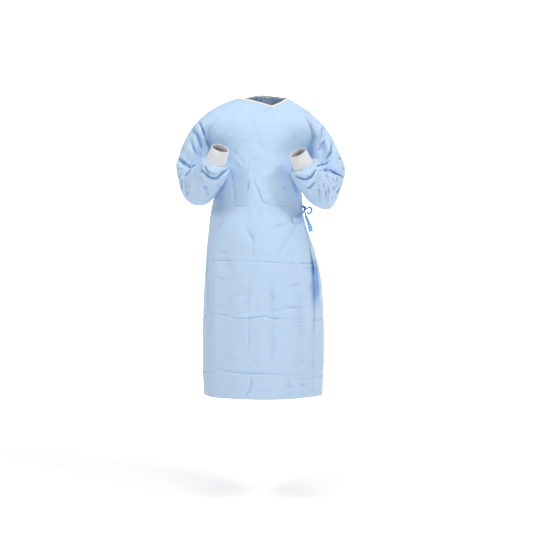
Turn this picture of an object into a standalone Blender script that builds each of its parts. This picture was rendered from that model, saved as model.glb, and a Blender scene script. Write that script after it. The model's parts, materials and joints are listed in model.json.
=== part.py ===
"""Surgical gown, hollow, in the pose of a wearer who holds both forearms up in front of the chest.

Metres, +Z up, front of the gown towards -Y, the wearer's left towards +X. The origin is between the
shoulders at the height of the neck, where the wearer carries the gown. Every cloth piece is a wall
through rows or rings that are worked out from the tables below.
"""

import math
from typing import NamedTuple

import bpy
import numpy as np

WALL = 0.0014
SEAM_GAP = 0.0003
HEM_Z = -1.125
UNDERARM_Z = -0.215
SKIRT_ROWS = 18
YOKE_ROWS = 12
WAIST_CROWDING = 0.05
SHOULDER_STEPS = 4
RING_POINTS = 2 * YOKE_ROWS + SHOULDER_STEPS
ROBE_COLOUR = (0.62, 0.75, 0.90, 1.0)
KNIT_COLOUR = (0.90, 0.90, 0.89, 1.0)
BINDING_COLOUR = (0.93, 0.91, 0.78, 1.0)
TIE_COLOUR = (0.16, 0.42, 0.82, 1.0)


class Section(NamedTuple):
    """One level of the body below the underarm: the ellipse's reach to each side, front and back."""

    z: float
    right: float
    left: float
    front: float
    back: float


class Raglan(NamedTuple):
    """One point of the armhole seam: w runs from the underarm (0) to the neck (1)."""

    w: float
    centre: float
    front_half: float
    front_y: float
    front_z: float
    back_half: float
    back_y: float
    back_z: float


class Middle(NamedTuple):
    """The middle of one yoke row, and how round the row is: 1 an ellipse, 2 a parabola."""

    w: float
    front_y: float
    front_z: float
    back_y: float
    back_z: float
    power: float


class Neck(NamedTuple):
    """One point of the front neckline, from the wearer's right (-1) to the left (1)."""

    s: float
    x: float
    y: float
    z: float


class Edge(NamedTuple):
    """Where the panels end at one level, in degrees from the front's middle towards the wearer's left."""

    level: float
    right_seam: float
    left_seam: float
    wrap_edge: float
    under_edge: float
    stand_off: float


class Fold(NamedTuple):
    """A hanging fold: its bearing, its top and bottom, its half width and height, and its drift."""

    name: str
    bearing: float
    top: float
    bottom: float
    width: float
    height: float
    drift: float


class Arm(NamedTuple):
    """One arm's pose: the ring above the elbow, the forearm's bearing and rise, the cuff's direction."""

    name: str
    side: float
    elbow_x: float
    elbow_y: float
    elbow_z: float
    swing: float
    rise: float
    cuff_in: float
    cuff_front: float
    cuff_up: float


class Spot(NamedTuple):
    """One point of a tie that lies on the body: its bearing, its height and how far it stands off."""

    bearing: float
    z: float
    lift: float


class Station(NamedTuple):
    """One point of a tie that hangs free: its place, its width and the turn of its flat side."""

    x: float
    y: float
    z: float
    width: float
    turn: float


class Crumple(NamedTuple):
    """A fold on a sleeve: ring number, bearing round the ring, reach along and round, and height."""

    name: str
    ring: float
    bearing: float
    along: float
    around: float
    height: float


class ForearmRing(NamedTuple):
    """A ring of the forearm: its share of the length, and how far it has become the roll."""

    share: float
    roll: float


class Gather(NamedTuple):
    """A ring of the gathers that turn in to the cuff: its distance along the cuff and its radius."""

    along: float
    radius: float


SECTIONS = (
    Section(-1.125, -0.219, 0.222, -0.168, 0.158),
    Section(-0.950, -0.222, 0.227, -0.163, 0.152),
    Section(-0.800, -0.219, 0.225, -0.157, 0.145),
    Section(-0.650, -0.215, 0.211, -0.149, 0.136),
    Section(-0.560, -0.210, 0.187, -0.142, 0.129),
    Section(-0.480, -0.202, 0.161, -0.136, 0.121),
    Section(-0.430, -0.195, 0.150, -0.132, 0.115),
    Section(-0.385, -0.186, 0.149, -0.132, 0.112),
    Section(-0.300, -0.175, 0.152, -0.134, 0.112),
    Section(-0.215, -0.176, 0.158, -0.132, 0.112),
)

RAGLAN = (
    Raglan(0.00, -0.009, 0.167, 0.000, -0.215, 0.167, 0.000, -0.215),
    Raglan(0.12, -0.008, 0.180, -0.030, -0.190, 0.180, 0.030, -0.190),
    Raglan(0.25, -0.006, 0.190, -0.056, -0.160, 0.189, 0.056, -0.160),
    Raglan(0.40, -0.003, 0.191, -0.076, -0.127, 0.187, 0.076, -0.125),
    Raglan(0.60, 0.001, 0.167, -0.086, -0.088, 0.158, 0.086, -0.083),
    Raglan(0.80, 0.004, 0.132, -0.075, -0.050, 0.119, 0.078, -0.042),
    Raglan(1.00, 0.0075, 0.0915, -0.047, -0.008, 0.077, 0.052, 0.004),
)

MIDDLES = (
    Middle(0.00, -0.132, -0.215, 0.112, -0.215, 1.0),
    Middle(0.12, -0.131, -0.190, 0.113, -0.187, 1.4),
    Middle(0.25, -0.129, -0.163, 0.114, -0.153, 1.7),
    Middle(0.40, -0.125, -0.137, 0.113, -0.118, 2.0),
    Middle(0.60, -0.116, -0.104, 0.107, -0.072, 2.0),
    Middle(0.80, -0.103, -0.073, 0.091, -0.028, 2.0),
    Middle(1.00, -0.087, -0.042, 0.067, 0.012, 2.0),
)

NECKLINE = (
    Neck(-1.00, -0.0840, -0.047, -0.008),
    Neck(-0.50, -0.0480, -0.067, -0.017),
    Neck(0.00, -0.0010, -0.082, -0.030),
    Neck(0.40, 0.0390, -0.089, -0.043),
    Neck(0.70, 0.0680, -0.074, -0.029),
    Neck(1.00, 0.0990, -0.047, -0.008),
)

EDGES = (
    Edge(0.00, 291.0, 88.0, 59.0, 205.0, 0.000),
    Edge(0.30, 291.0, 88.0, 59.0, 204.0, 0.001),
    Edge(0.43, 291.0, 88.0, 61.5, 203.5, 0.011),
    Edge(0.55, 290.5, 88.0, 67.0, 203.0, 0.004),
    Edge(0.65, 289.5, 88.0, 74.0, 202.0, 0.001),
    Edge(0.77, 287.0, 88.5, 78.0, 201.0, 0.000),
    Edge(0.88, 279.0, 89.0, 108.0, 198.0, 0.000),
    Edge(1.00, 270.0, 90.0, 146.0, 196.0, 0.000),
    Edge(1.50, 270.0, 90.0, 163.0, 192.0, 0.000),
    Edge(2.00, 270.0, 90.0, 172.0, 188.0, 0.000),
)

FOLDS = (
    Fold("right_front_flute", -50.0, -0.42, -1.2, 8.0, 0.006, -4.0),
    Fold("right_front_dip", -36.0, -0.40, -1.2, 7.0, -0.004, -3.0),
    Fold("centre_dip", -14.0, -0.66, -1.2, 7.0, -0.003, 1.0),
    Fold("left_front_roll", 24.0, -0.42, -1.2, 9.0, 0.004, 4.0),
    Fold("left_front_dip", 42.0, -0.44, -1.2, 7.0, -0.005, 3.0),
    Fold("left_side_flute", 78.0, -0.50, -1.2, 9.0, 0.006, 4.0),
    Fold("left_back_dip", 108.0, -0.42, -1.2, 9.0, -0.010, 2.0),
    Fold("left_back_flute", 130.0, -0.36, -1.2, 9.0, 0.008, -2.0),
    Fold("back_dip", 152.0, -0.40, -1.2, 10.0, -0.008, 4.0),
    Fold("back_flute", 178.0, -0.30, -1.2, 10.0, 0.007, 3.0),
    Fold("right_back_dip", 203.0, -0.36, -1.2, 10.0, -0.009, -3.0),
    Fold("right_back_flute", 226.0, -0.40, -1.2, 9.0, 0.008, 2.0),
    Fold("right_side_dip", 250.0, -0.46, -1.2, 9.0, -0.008, 3.0),
    Fold("right_side_flute", 273.0, -0.55, -1.2, 8.0, 0.005, -2.0),
)

RIGHT_ARM = Arm("right", -1.0, -0.250, -0.012, -0.262, 25.0, 24.5, 0.32, 0.44, 0.84)
LEFT_ARM = Arm("left", 1.0, 0.238, -0.012, -0.275, 25.0, 24.5, 0.40, 0.42, 0.81)

CRUMPLES = (
    Crumple("armpit_drape", 5.0, 98.0, 2.6, 22.0, -0.006),
    Crumple("armpit_roll", 5.0, 60.0, 2.6, 20.0, 0.004),
    Crumple("upper_drape", 7.0, 128.0, 2.5, 22.0, 0.006),
    Crumple("crook_side_fold", 10.5, 142.0, 2.0, 20.0, -0.008),
    Crumple("crook_roll", 13.0, 128.0, 1.8, 22.0, 0.007),
    Crumple("elbow_drape", 15.0, 170.0, 1.6, 30.0, 0.005),
    Crumple("forearm_fold", 18.5, 150.0, 1.5, 28.0, -0.007),
    Crumple("forearm_roll", 20.0, 205.0, 1.4, 36.0, 0.006),
    Crumple("back_drape", 8.0, 265.0, 3.0, 26.0, -0.007),
    Crumple("elbow_back_roll", 12.0, 250.0, 2.0, 26.0, 0.006),
)

FOREARM_RINGS = (
    ForearmRing(0.22, 0.0),
    ForearmRing(0.44, 0.1),
    ForearmRing(0.64, 0.5),
    ForearmRing(0.80, 1.0),
    ForearmRing(0.92, 1.0),
)
GATHERS = (
    Gather(0.0010, 0.0530),
    Gather(0.0045, 0.0465),
)

FRONT_TIE = (
    Spot(56.0, -0.451, 0.0021),
    Spot(62.0, -0.450, 0.0022),
    Spot(68.0, -0.446, 0.0032),
    Spot(73.5, -0.439, 0.0070),
    Spot(78.8, -0.4285, 0.0141),
)
WRAP_TIE = (
    Spot(104.0, -0.409, 0.0074),
    Spot(98.0, -0.410, 0.0076),
    Spot(91.0, -0.413, 0.0095),
    Spot(84.3, -0.4175, 0.0138),
)
KNOT = Spot(81.5, -0.420, 0.0165)
TIE_LOOP = (
    Station(0.1692, -0.030, -0.4230, 0.011, 6.0),
    Station(0.1745, -0.033, -0.4165, 0.012, 30.0),
    Station(0.1810, -0.035, -0.4155, 0.013, 38.0),
    Station(0.1862, -0.036, -0.4190, 0.013, 38.0),
    Station(0.1882, -0.036, -0.4260, 0.013, 38.0),
    Station(0.1862, -0.035, -0.4320, 0.013, 36.0),
    Station(0.1795, -0.034, -0.4385, 0.013, 32.0),
    Station(0.1725, -0.032, -0.4370, 0.012, 24.0),
    Station(0.1694, -0.030, -0.4300, 0.011, 8.0),
)
TIE_TAIL = (
    Station(0.1632, -0.026, -0.4284, 0.010, 0.0),
    Station(0.1645, -0.033, -0.4430, 0.011, 22.0),
    Station(0.1680, -0.041, -0.4560, 0.013, 45.0),
    Station(0.1735, -0.047, -0.4690, 0.015, 60.0),
    Station(0.1785, -0.047, -0.4820, 0.017, 72.0),
    Station(0.1820, -0.047, -0.4950, 0.018, 78.0),
    Station(0.1850, -0.047, -0.5080, 0.018, 82.0),
)
PATCH_BEARINGS = (49.0, 70.0)
PATCH_HEIGHTS = (-0.447, -0.476)
PATCH_COLUMNS = 5
PATCH_ROWS = 3
TIE_WIDTH = 0.012
TIE_STEPS = 10
KNOT_SIZE = 0.0085
KNOT_COLUMNS = 12
KNOT_ROWS = 8

UPPER_RINGS = 9
RELAX_PASSES = 4
BEND_RINGS = 8
SLEEVE_DROP = 0.22
LEFT_SLEEVE_DROP = 0.13
UNDERARM_RISE = 0.6
FRONT_SPREAD = 0.12
SHOULDER_BULGE = (0.004, 0.003)
SHOULDER_REACH = 1.40
UNDERARM_REACH = 0.60
OUTER_ARM_REACH = 0.60
INNER_ARM_REACH = 1.30
ARM_OUTER_WIDTH = 0.080
ARM_INNER_WIDTH = 0.058
ARM_HALF_DEPTH = 0.052
CROOK_RADIUS = 0.008
ELBOW_POINT = 0.036
ELBOW_PEAK = 0.58
ELBOW_SPREAD = 0.27
ELBOW_PINCH = 0.2
FOREARM_HALF_WIDTH = 0.062
FOREARM_HALF_DEPTH = 0.056
FOREARM_LENGTH = 0.118
FOREARM_STEPS = 60
FOREARM_TURN = (0.25, 1.05)
ROLL_RADIUS = 0.058
CUFF_ROOT_RADIUS = 0.0390
CUFF_END_RADIUS = 0.0330
CUFF_LENGTH = 0.061
CUFF_TUCK = 0.007
COLLAR_PLACE = 0.0048
CUFF_WALL = 0.0018
CUFF_RIBS = 24
RIB_HEIGHT = 0.0008
BINDING_WIDTH = 0.0065
BINDING_WALL = 0.0022
WRAP_LIFT = 0.0060
WRAP_EDGE_LIFT = 0.0036
WRAP_EDGE_EASES = (74.0, 98.0)
WRAP_RISES = (208.0, 245.0)
STAND_OFF_SPREAD = 16.0
TIE_WALL = 0.0012


def column(table, name):
    """One named column of a table, as an array."""
    return np.array([getattr(row, name) for row in table])


def smooth(knots, values, at):
    """A cubic curve through the values, whose slope at each knot is that of its two neighbours."""
    order = np.argsort(knots)
    knots, values = np.asarray(knots)[order], np.asarray(values)[order]
    at = np.clip(at, knots[0], knots[-1])
    slopes = np.gradient(values, knots)
    i = np.clip(np.searchsorted(knots, at, side="right") - 1, 0, len(knots) - 2)
    step = knots[i + 1] - knots[i]
    u = (at - knots[i]) / step
    return (
        values[i] * (1 + 2 * u) * (1 - u) ** 2
        + values[i + 1] * u**2 * (3 - 2 * u)
        + step * (slopes[i] * u * (1 - u) ** 2 - slopes[i + 1] * u**2 * (1 - u))
    )


def from_table(table, key, name, at):
    """A named column of a table, smoothed between its rows."""
    return smooth(column(table, key), column(table, name), at)


def unit(vectors):
    """The vectors at length one."""
    return vectors / np.maximum(np.linalg.norm(vectors, axis=-1, keepdims=True), 1e-12)


def ramp(value, start, end):
    """0 at start and 1 at end, with a soft beginning and end."""
    u = np.clip((value - start) / (end - start), 0.0, 1.0)
    return u * u * (3 - 2 * u)


def levels():
    """The rows' levels from the hem (0) over the underarm (1) to the neck (2), closer at the waist."""
    even = np.linspace(0.0, 1.0, SKIRT_ROWS + 1)
    skirt = even + WAIST_CROWDING * np.sin(math.pi * even) ** 2
    yoke = 1.0 + np.arange(1, YOKE_ROWS + 1) / YOKE_ROWS
    return np.concatenate([skirt, yoke])


def fold_height(bearing, z):
    """How far the hanging folds move the cloth out at a bearing and height, in metres."""
    total = np.zeros(np.broadcast(bearing, z).shape)
    for fold in FOLDS:
        run = np.clip((fold.top - z) / (fold.top - fold.bottom), 0.0, 1.0)
        off = (bearing - fold.bearing - fold.drift * run + 180.0) % 360.0 - 180.0
        spread = fold.width * (0.8 + 0.5 * run)
        total = total + fold.height * ramp(run, 0.0, 0.45) * np.exp(-((off / spread) ** 2))
    return total


def skirt_point(bearing, z):
    """A point of the body below the underarm: an ellipse at each height, moved out by the folds."""
    right = from_table(SECTIONS, "z", "right", z)
    left = from_table(SECTIONS, "z", "left", z)
    front = from_table(SECTIONS, "z", "front", z)
    back = from_table(SECTIONS, "z", "back", z)
    angle = np.radians(bearing)
    depth = np.where(np.cos(angle) > 0, -front, back)
    out = 1.0 + fold_height(bearing, z) / 0.5 / (left - right)
    x = (left + right) / 2 + (left - right) / 2 * np.sin(angle) * out
    return np.stack([x, -depth * np.cos(angle) * out, z + 0.0 * x], axis=-1)


def yoke_point(bearing, w, back):
    """A point above the underarm: each row spans from seam to seam, and the top row is the neckline."""
    t = np.clip((180.0 - bearing) / 90.0 if back else bearing / 90.0, -1.0, 1.0)
    s = np.sin(t * math.pi / 2)
    s = s + (t - s) * ramp(w, 0.0, 0.6)
    c = np.sqrt(np.clip(1.0 - s * s, 0.0, 1.0))
    face = "back_" if back else "front_"
    x = from_table(RAGLAN, "w", "centre", w) + from_table(RAGLAN, "w", face + "half", w) * s
    power = from_table(MIDDLES, "w", "power", w)
    end_y, end_z = (from_table(RAGLAN, "w", face + axis, w) for axis in "yz")
    middle_y, middle_z = (from_table(MIDDLES, "w", face + axis, w) for axis in "yz")
    y = end_y + (middle_y - end_y) * c**power
    z = end_z + (middle_z - end_z) * c**2
    plain = np.stack([x, y, z], axis=-1)
    if back:
        return plain
    top, middle = RAGLAN[-1], MIDDLES[-1]
    plain_neck = np.stack(
        [
            top.centre + top.front_half * s,
            top.front_y + (middle.front_y - top.front_y) * c**middle.power,
            top.front_z + (middle.front_z - top.front_z) * c**2,
        ],
        axis=-1,
    )
    neck = np.stack(
        [np.interp(s, column(NECKLINE, "s"), column(NECKLINE, axis)) for axis in "xyz"],
        axis=-1,
    )
    return plain + (neck - plain_neck) * (w**2.2)[..., None]


def body_point(bearing, level, back):
    """A point of the body at a bearing in degrees and a level from 0 to 2."""
    bearing, level = np.broadcast_arrays(bearing, level)
    z = HEM_Z + (UNDERARM_Z - HEM_Z) * np.clip(level, 0.0, 1.0)
    below = skirt_point(bearing, z)
    above = yoke_point(bearing, np.clip(level - 1.0, 0.0, 1.0), back)
    return np.where((level <= 1.0)[..., None], below, above)


def body_normal(bearing, level, back):
    """The outward direction of the body, from four points close by."""
    step, rise = 0.6, 0.01
    after, before = (body_point(bearing + way * step, level, back) for way in (1, -1))
    above = body_point(bearing, np.minimum(level + rise, 2.0), back)
    below = body_point(bearing, np.maximum(level - rise, 0.0), back)
    return unit(np.cross(after - before, above - below))


def raglan_point(side, w, back):
    """A point of the armhole seam on one side, front or back."""
    face = "back_" if back else "front_"
    x = from_table(RAGLAN, "w", "centre", w) + side * from_table(RAGLAN, "w", face + "half", w)
    y = from_table(RAGLAN, "w", face + "y", w)
    z = from_table(RAGLAN, "w", face + "z", w)
    return np.stack([x, y, z], axis=-1)


def armhole(side):
    """The armhole as one loop: underarm, up the front seam, over the shoulder, down the back seam."""
    rise = np.arange(YOKE_ROWS + 1) / YOKE_ROWS
    front = raglan_point(side, rise, False)
    back = raglan_point(side, rise, True)
    over = np.arange(1, SHOULDER_STEPS)[:, None] / SHOULDER_STEPS
    out, up = SHOULDER_BULGE
    bulge = np.sin(math.pi * over) * np.array([side * out, 0.0, up])
    shoulder = front[-1] * (1 - over) + back[-1] * over + bulge
    return np.concatenate([front, shoulder, back[:0:-1]])


def leave(side):
    """The direction in which the sleeve leaves its armhole at each of its points."""
    turn = np.arange(RING_POINTS) / RING_POINTS
    drop = SLEEVE_DROP + LEFT_SLEEVE_DROP * side
    up = UNDERARM_RISE * np.abs(np.cos(math.pi * turn)) ** 10 - drop
    ahead = -FRONT_SPREAD * np.sin(2 * math.pi * turn)
    return unit(np.stack([np.full(RING_POINTS, side), ahead, up], axis=-1))


def seam_frame(side):
    """On the armhole seam: the outward directions, halfway between those of the sleeve and the
    panels, and the directions within the cloth that cross the seam towards the sleeve."""
    loop, across = armhole(side), leave(side)
    rise = 1.0 + np.arange(1, YOKE_ROWS + 1) / YOKE_ROWS
    near = {False: side * 84.0, True: 180.0 - side * 84.0}
    for back in (False, True):
        rows = slice(1, YOKE_ROWS + 1) if not back else slice(-1, -YOKE_ROWS - 1, -1)
        within = body_point(np.full(YOKE_ROWS, near[back]), rise, back)
        across[rows] = unit(across[rows] + unit(loop[rows] - within))
    along = np.roll(loop, -1, axis=0) - np.roll(loop, 1, axis=0)
    normal = -side * unit(np.cross(along, across))
    normal[0] = unit(np.array([side, 0.0, -0.8]))
    towards = unit(np.cross(along, normal))
    towards = towards * np.sign(np.sum(towards * across, axis=-1, keepdims=True))
    return normal, towards


def seam_rows(side, back):
    """The armhole's frame for the yoke rows of a front or a back panel, from underarm to neck."""
    if back:
        return [np.concatenate([way[:1], way[: -YOKE_ROWS - 1 : -1]]) for way in seam_frame(side)]
    return [way[: YOKE_ROWS + 1] for way in seam_frame(side)]


def mesh_object(name, points, faces, colour, roughness):
    """A mesh object with its own material, shaded smooth but for its sharp edges."""
    corners = points[faces]
    volume = np.einsum("ij,ij->i", corners[:, 0], np.cross(corners[:, 1], corners[:, 2])).sum()
    if volume < 0:
        faces = faces[:, ::-1]
    mesh = bpy.data.meshes.new(name)
    mesh.from_pydata(points.tolist(), [], faces.tolist())
    mesh.shade_smooth()
    mesh.set_sharp_from_angle(angle=math.radians(50))
    material = bpy.data.materials.new(name)
    material.use_nodes = True
    shader = material.node_tree.nodes["Principled BSDF"]
    shader.inputs["Base Color"].default_value = colour
    shader.inputs["Roughness"].default_value = roughness
    shader.inputs["Metallic"].default_value = 0.0
    material.diffuse_color = colour
    mesh.materials.append(material)
    obj = bpy.data.objects.new(name, mesh)
    bpy.context.scene.collection.objects.link(obj)
    return obj


def wall(name, outer, inner, colour, roughness=0.8, round_=False):
    """A closed wall between two grids of rows and columns, with rims along its open edges."""
    rows, cols = outer.shape[:2]
    index = np.arange(rows * cols).reshape(rows, cols)
    if round_:
        index = np.concatenate([index, index[:, :1]], axis=1)
    a, b = index[:-1, :-1].ravel(), index[:-1, 1:].ravel()
    d, c = index[1:, :-1].ravel(), index[1:, 1:].ravel()
    flat = outer.reshape(-1, 3)
    short = np.linalg.norm(flat[a] - flat[c], axis=1) <= np.linalg.norm(flat[b] - flat[d], axis=1)
    first = np.where(short[:, None], np.stack([a, b, c], 1), np.stack([a, b, d], 1))
    second = np.where(short[:, None], np.stack([a, c, d], 1), np.stack([b, c, d], 1))
    skin = np.concatenate([first, second])
    below = skin[:, ::-1] + rows * cols
    edges = [index[0], index[-1, ::-1]]
    if not round_:
        edges += [index[::-1, 0], index[:, -1]]
    rims = []
    for edge in edges:
        p, q = edge[:-1], edge[1:]
        rims.append(np.stack([q, p, p + rows * cols], 1))
        rims.append(np.stack([q, p + rows * cols, q + rows * cols], 1))
    points = np.concatenate([flat, inner.reshape(-1, 3)])
    return mesh_object(name, points, np.concatenate([skin, below] + rims), colour, roughness)


def open_seams(net, seams, back):
    """Draws a panel's sewn columns back by half the seam gap, within the cloth."""
    for place, side in seams.items():
        beside = 1 if place == 0 else -2
        below = slice(0, SKIRT_ROWS + 1)
        net[below, place] += unit(net[below, beside] - net[below, place]) * SEAM_GAP / 2
        net[SKIRT_ROWS:, place] -= seam_rows(side, back)[1] * SEAM_GAP / 2


def panel_nets(first, last, cols, back, seams, lift=None):
    """A panel's outer and inner nets between two edge bearings, given for each level."""
    level = levels()
    spread = np.linspace(0.0, 1.0, cols + 1)
    bearing = first[:, None] + (last - first)[:, None] * spread
    level = np.repeat(level[:, None], cols + 1, axis=1)
    outer = body_point(bearing, level, back)
    normal = body_normal(bearing, level, back)
    for place, side in seams.items():
        normal[SKIRT_ROWS:, place] = seam_rows(side, back)[0]
    if lift is not None:
        outer = outer + normal * lift(bearing, level)[..., None]
    open_seams(outer, seams, back)
    return outer, outer - normal * WALL


def edge_row(name):
    """One column of the edge table, smoothed, for each level."""
    return from_table(EDGES, "level", name, levels())


def wrap_lift(bearing, level):
    """How far the wrap lies off the body: nothing at its seam, more over the under panel."""
    over = WRAP_LIFT * (1 - ramp(bearing, *WRAP_RISES))
    over = over - (WRAP_LIFT - WRAP_EDGE_LIFT) * (1 - ramp(bearing, *WRAP_EDGE_EASES))
    edge = from_table(EDGES, "level", "wrap_edge", level)
    stand = from_table(EDGES, "level", "stand_off", level)
    return over + stand * np.exp(-(((bearing - edge) / STAND_OFF_SPREAD) ** 2))


def build_front():
    """The front panel, from the right side seam and armhole to the left ones."""
    outer, inner = panel_nets(
        edge_row("right_seam") - 360.0, edge_row("left_seam"), 24, False, {0: -1.0, -1: 1.0}
    )
    wall("front_panel", outer, inner, ROBE_COLOUR)
    return outer, inner


def build_wrap():
    """The right back panel, which wraps across the back to the wearer's left side."""
    outer, inner = panel_nets(
        edge_row("right_seam"), edge_row("wrap_edge"), 26, True, {0: -1.0}, wrap_lift
    )
    wall("back_panel_right", outer, inner, ROBE_COLOUR)
    return outer, inner


def build_under():
    """The left back panel, which lies under the wrap."""
    outer, inner = panel_nets(
        edge_row("left_seam"), edge_row("under_edge"), 9, True, {0: 1.0}
    )
    wall("back_panel_left", outer, inner, ROBE_COLOUR)
    return outer, inner


def arm_frame(arm):
    """The arm's directions: across the bend (outwards), level ahead along the forearm, and up."""
    swing = math.radians(arm.swing)
    ahead = np.array([-arm.side * math.sin(swing), -math.cos(swing), 0.0])
    across = np.array([arm.side * math.cos(swing), -math.sin(swing), 0.0])
    return across, ahead, np.array([0.0, 0.0, 1.0])


def ring(centre, across, depth_axis, inner_width, outer_width, half_depth):
    """A ring of points: inner side, front, outer side, back, as the armhole's loop runs."""
    turn = 2 * math.pi * np.arange(RING_POINTS)[:, None] / RING_POINTS
    width = np.where(np.cos(turn) > 0, inner_width, outer_width)
    return centre - width * np.cos(turn) * across + half_depth * np.sin(turn) * depth_axis


def crumple_height(ring_numbers, side):
    """How far the sleeve's folds move the cloth out, for each ring and bearing."""
    bearing = 360.0 * np.arange(RING_POINTS) / RING_POINTS
    total = np.zeros((len(ring_numbers), RING_POINTS))
    for fold in CRUMPLES:
        off = (bearing - fold.bearing - 8.0 * side + 180.0) % 360.0 - 180.0
        reach = ((ring_numbers - fold.ring - 0.4 * side) / fold.along) ** 2
        total += fold.height * np.exp(-reach)[:, None] * np.exp(-((off / fold.around) ** 2))
    return total * ramp(ring_numbers, 0.0, 3.5)[:, None]


def relaxed(rings):
    """The rings with those above the elbow eased towards their neighbours; the armhole's ring stays."""
    rings = rings.copy()
    upper = slice(1, UPPER_RINGS)
    for _ in range(RELAX_PASSES):
        beside = (np.roll(rings, 1, axis=1) + np.roll(rings, -1, axis=1))[upper] / 2
        along = (rings[: UPPER_RINGS - 1] + rings[2 : UPPER_RINGS + 1]) / 2
        rings[upper] = rings[upper] / 2 + beside / 4 + along / 4
    return rings


def forearm_path(arm):
    """The forearm's headings from the bend to the cuff's root, the step between them, and the cuff's."""
    across, ahead, up = arm_frame(arm)
    rise = math.radians(arm.rise)
    start = math.cos(rise) * ahead + math.sin(rise) * up
    end = unit(np.array([-arm.side * arm.cuff_in, -arm.cuff_front, arm.cuff_up]))
    share = np.arange(FOREARM_STEPS + 1) / FOREARM_STEPS
    turn = ramp(share, *FOREARM_TURN)[:, None]
    heading = unit(start * (1 - turn) + end * turn)
    return heading, FOREARM_LENGTH / FOREARM_STEPS, end


def cuff_radius(along):
    """The cuff's outer radius at a distance along it from where it leaves the sleeve."""
    share = (along + CUFF_TUCK) / (CUFF_LENGTH + CUFF_TUCK)
    return CUFF_ROOT_RADIUS + (CUFF_END_RADIUS - CUFF_ROOT_RADIUS) * share


def build_sleeve(arm):
    """One raglan sleeve, from its armhole over the bent elbow to the gathers at the cuff."""
    across, ahead, up = arm_frame(arm)
    side = arm.side
    elbow = np.array([arm.elbow_x, arm.elbow_y, arm.elbow_z])
    pivot = elbow + ahead * (ARM_HALF_DEPTH + CROOK_RADIUS)
    rings = []

    root, root_out = armhole(side), leave(side)
    lower = ring(elbow, across, ahead, ARM_INNER_WIDTH, ARM_OUTER_WIDTH, ARM_HALF_DEPTH)
    reach = np.linalg.norm(lower - root, axis=1, keepdims=True)
    for _ in range(4):
        reach = (np.roll(reach, 1, axis=0) + 2 * reach + np.roll(reach, -1, axis=0)) / 4
    low = np.cos(math.pi * np.arange(RING_POINTS) / RING_POINTS)[:, None] ** 2
    away = root_out * reach * (SHOULDER_REACH + (UNDERARM_REACH - SHOULDER_REACH) * low)
    down = np.array([0.0, 0.0, -1.0]) * reach
    down = down * (OUTER_ARM_REACH + (INNER_ARM_REACH - OUTER_ARM_REACH) * low)
    for i in range(UPPER_RINGS):
        u = i / UPPER_RINGS
        rings.append(
            root * (1 + 2 * u) * (1 - u) ** 2
            + lower * u**2 * (3 - 2 * u)
            + away * u * (1 - u) ** 2
            - down * u**2 * (1 - u)
        )

    total = math.radians(90.0 + arm.rise)
    for i in range(BEND_RINGS + 1):
        u = i / BEND_RINGS
        angle = total * u
        spoke = -math.cos(angle) * ahead - math.sin(angle) * up
        point = ELBOW_POINT * math.exp(-(((u - ELBOW_PEAK) / ELBOW_SPREAD) ** 2))
        depth = ARM_HALF_DEPTH + (FOREARM_HALF_DEPTH - ARM_HALF_DEPTH) * u + point / 2
        inner = ARM_INNER_WIDTH + (FOREARM_HALF_WIDTH - ARM_INNER_WIDTH) * u
        outer = ARM_OUTER_WIDTH + (FOREARM_HALF_WIDTH - ARM_OUTER_WIDTH) * u
        centre = pivot + spoke * (CROOK_RADIUS + depth)
        pinch = ELBOW_PINCH * point
        rings.append(ring(centre, across, -spoke, inner - pinch, outer - pinch, depth))

    heading, step, cuff_way = forearm_path(arm)
    centre = centre.copy()
    path = [centre.copy()]
    for way in heading[:-1]:
        centre += way * step
        path.append(centre.copy())
    cuff_root = path[-1]
    for place in FOREARM_RINGS:
        at = round(place.share * FOREARM_STEPS)
        way = heading[at]
        wide = unit(across - way * np.dot(across, way))
        deep = np.cross(wide, way) * side
        deep = deep * np.sign(np.dot(deep, up))
        half_width = FOREARM_HALF_WIDTH + (ROLL_RADIUS - FOREARM_HALF_WIDTH) * place.roll
        half_depth = FOREARM_HALF_DEPTH + (ROLL_RADIUS - FOREARM_HALF_DEPTH) * place.roll
        rings.append(ring(path[at], wide, deep, half_width, half_width, half_depth))
    wide = unit(across - cuff_way * np.dot(across, cuff_way))
    deep = np.cross(wide, cuff_way) * side
    deep = deep * np.sign(np.dot(deep, up))
    collar = cuff_radius(COLLAR_PLACE) / math.cos(math.pi / RING_POINTS) + SEAM_GAP
    for along, radius in (*GATHERS, Gather(COLLAR_PLACE, collar)):
        rings.append(ring(cuff_root + cuff_way * along, wide, deep, radius, radius, radius))

    rings = relaxed(np.array(rings))
    numbers = np.arange(len(rings), dtype=float)
    around = np.roll(rings, -1, axis=1) - np.roll(rings, 1, axis=1)
    forward = np.gradient(rings, axis=0)
    normal = unit(np.cross(forward, around))
    middle = rings.mean(axis=1, keepdims=True)
    inward = np.sum(normal[12] * (rings[12] - middle[12]), axis=-1).mean() < 0
    if inward:
        normal = -normal
    rings = rings + normal * crumple_height(numbers, side)[..., None]
    forward = np.gradient(rings, axis=0)
    around = np.roll(rings, -1, axis=1) - np.roll(rings, 1, axis=1)
    normal = unit(np.cross(forward, around)) * (-1.0 if inward else 1.0)
    normal[0], towards = seam_frame(side)
    rings[0] = root + towards * SEAM_GAP / 2
    wall("sleeve_" + arm.name, rings, rings - normal * WALL, ROBE_COLOUR, round_=True)
    return cuff_root, cuff_way, wide, deep


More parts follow.
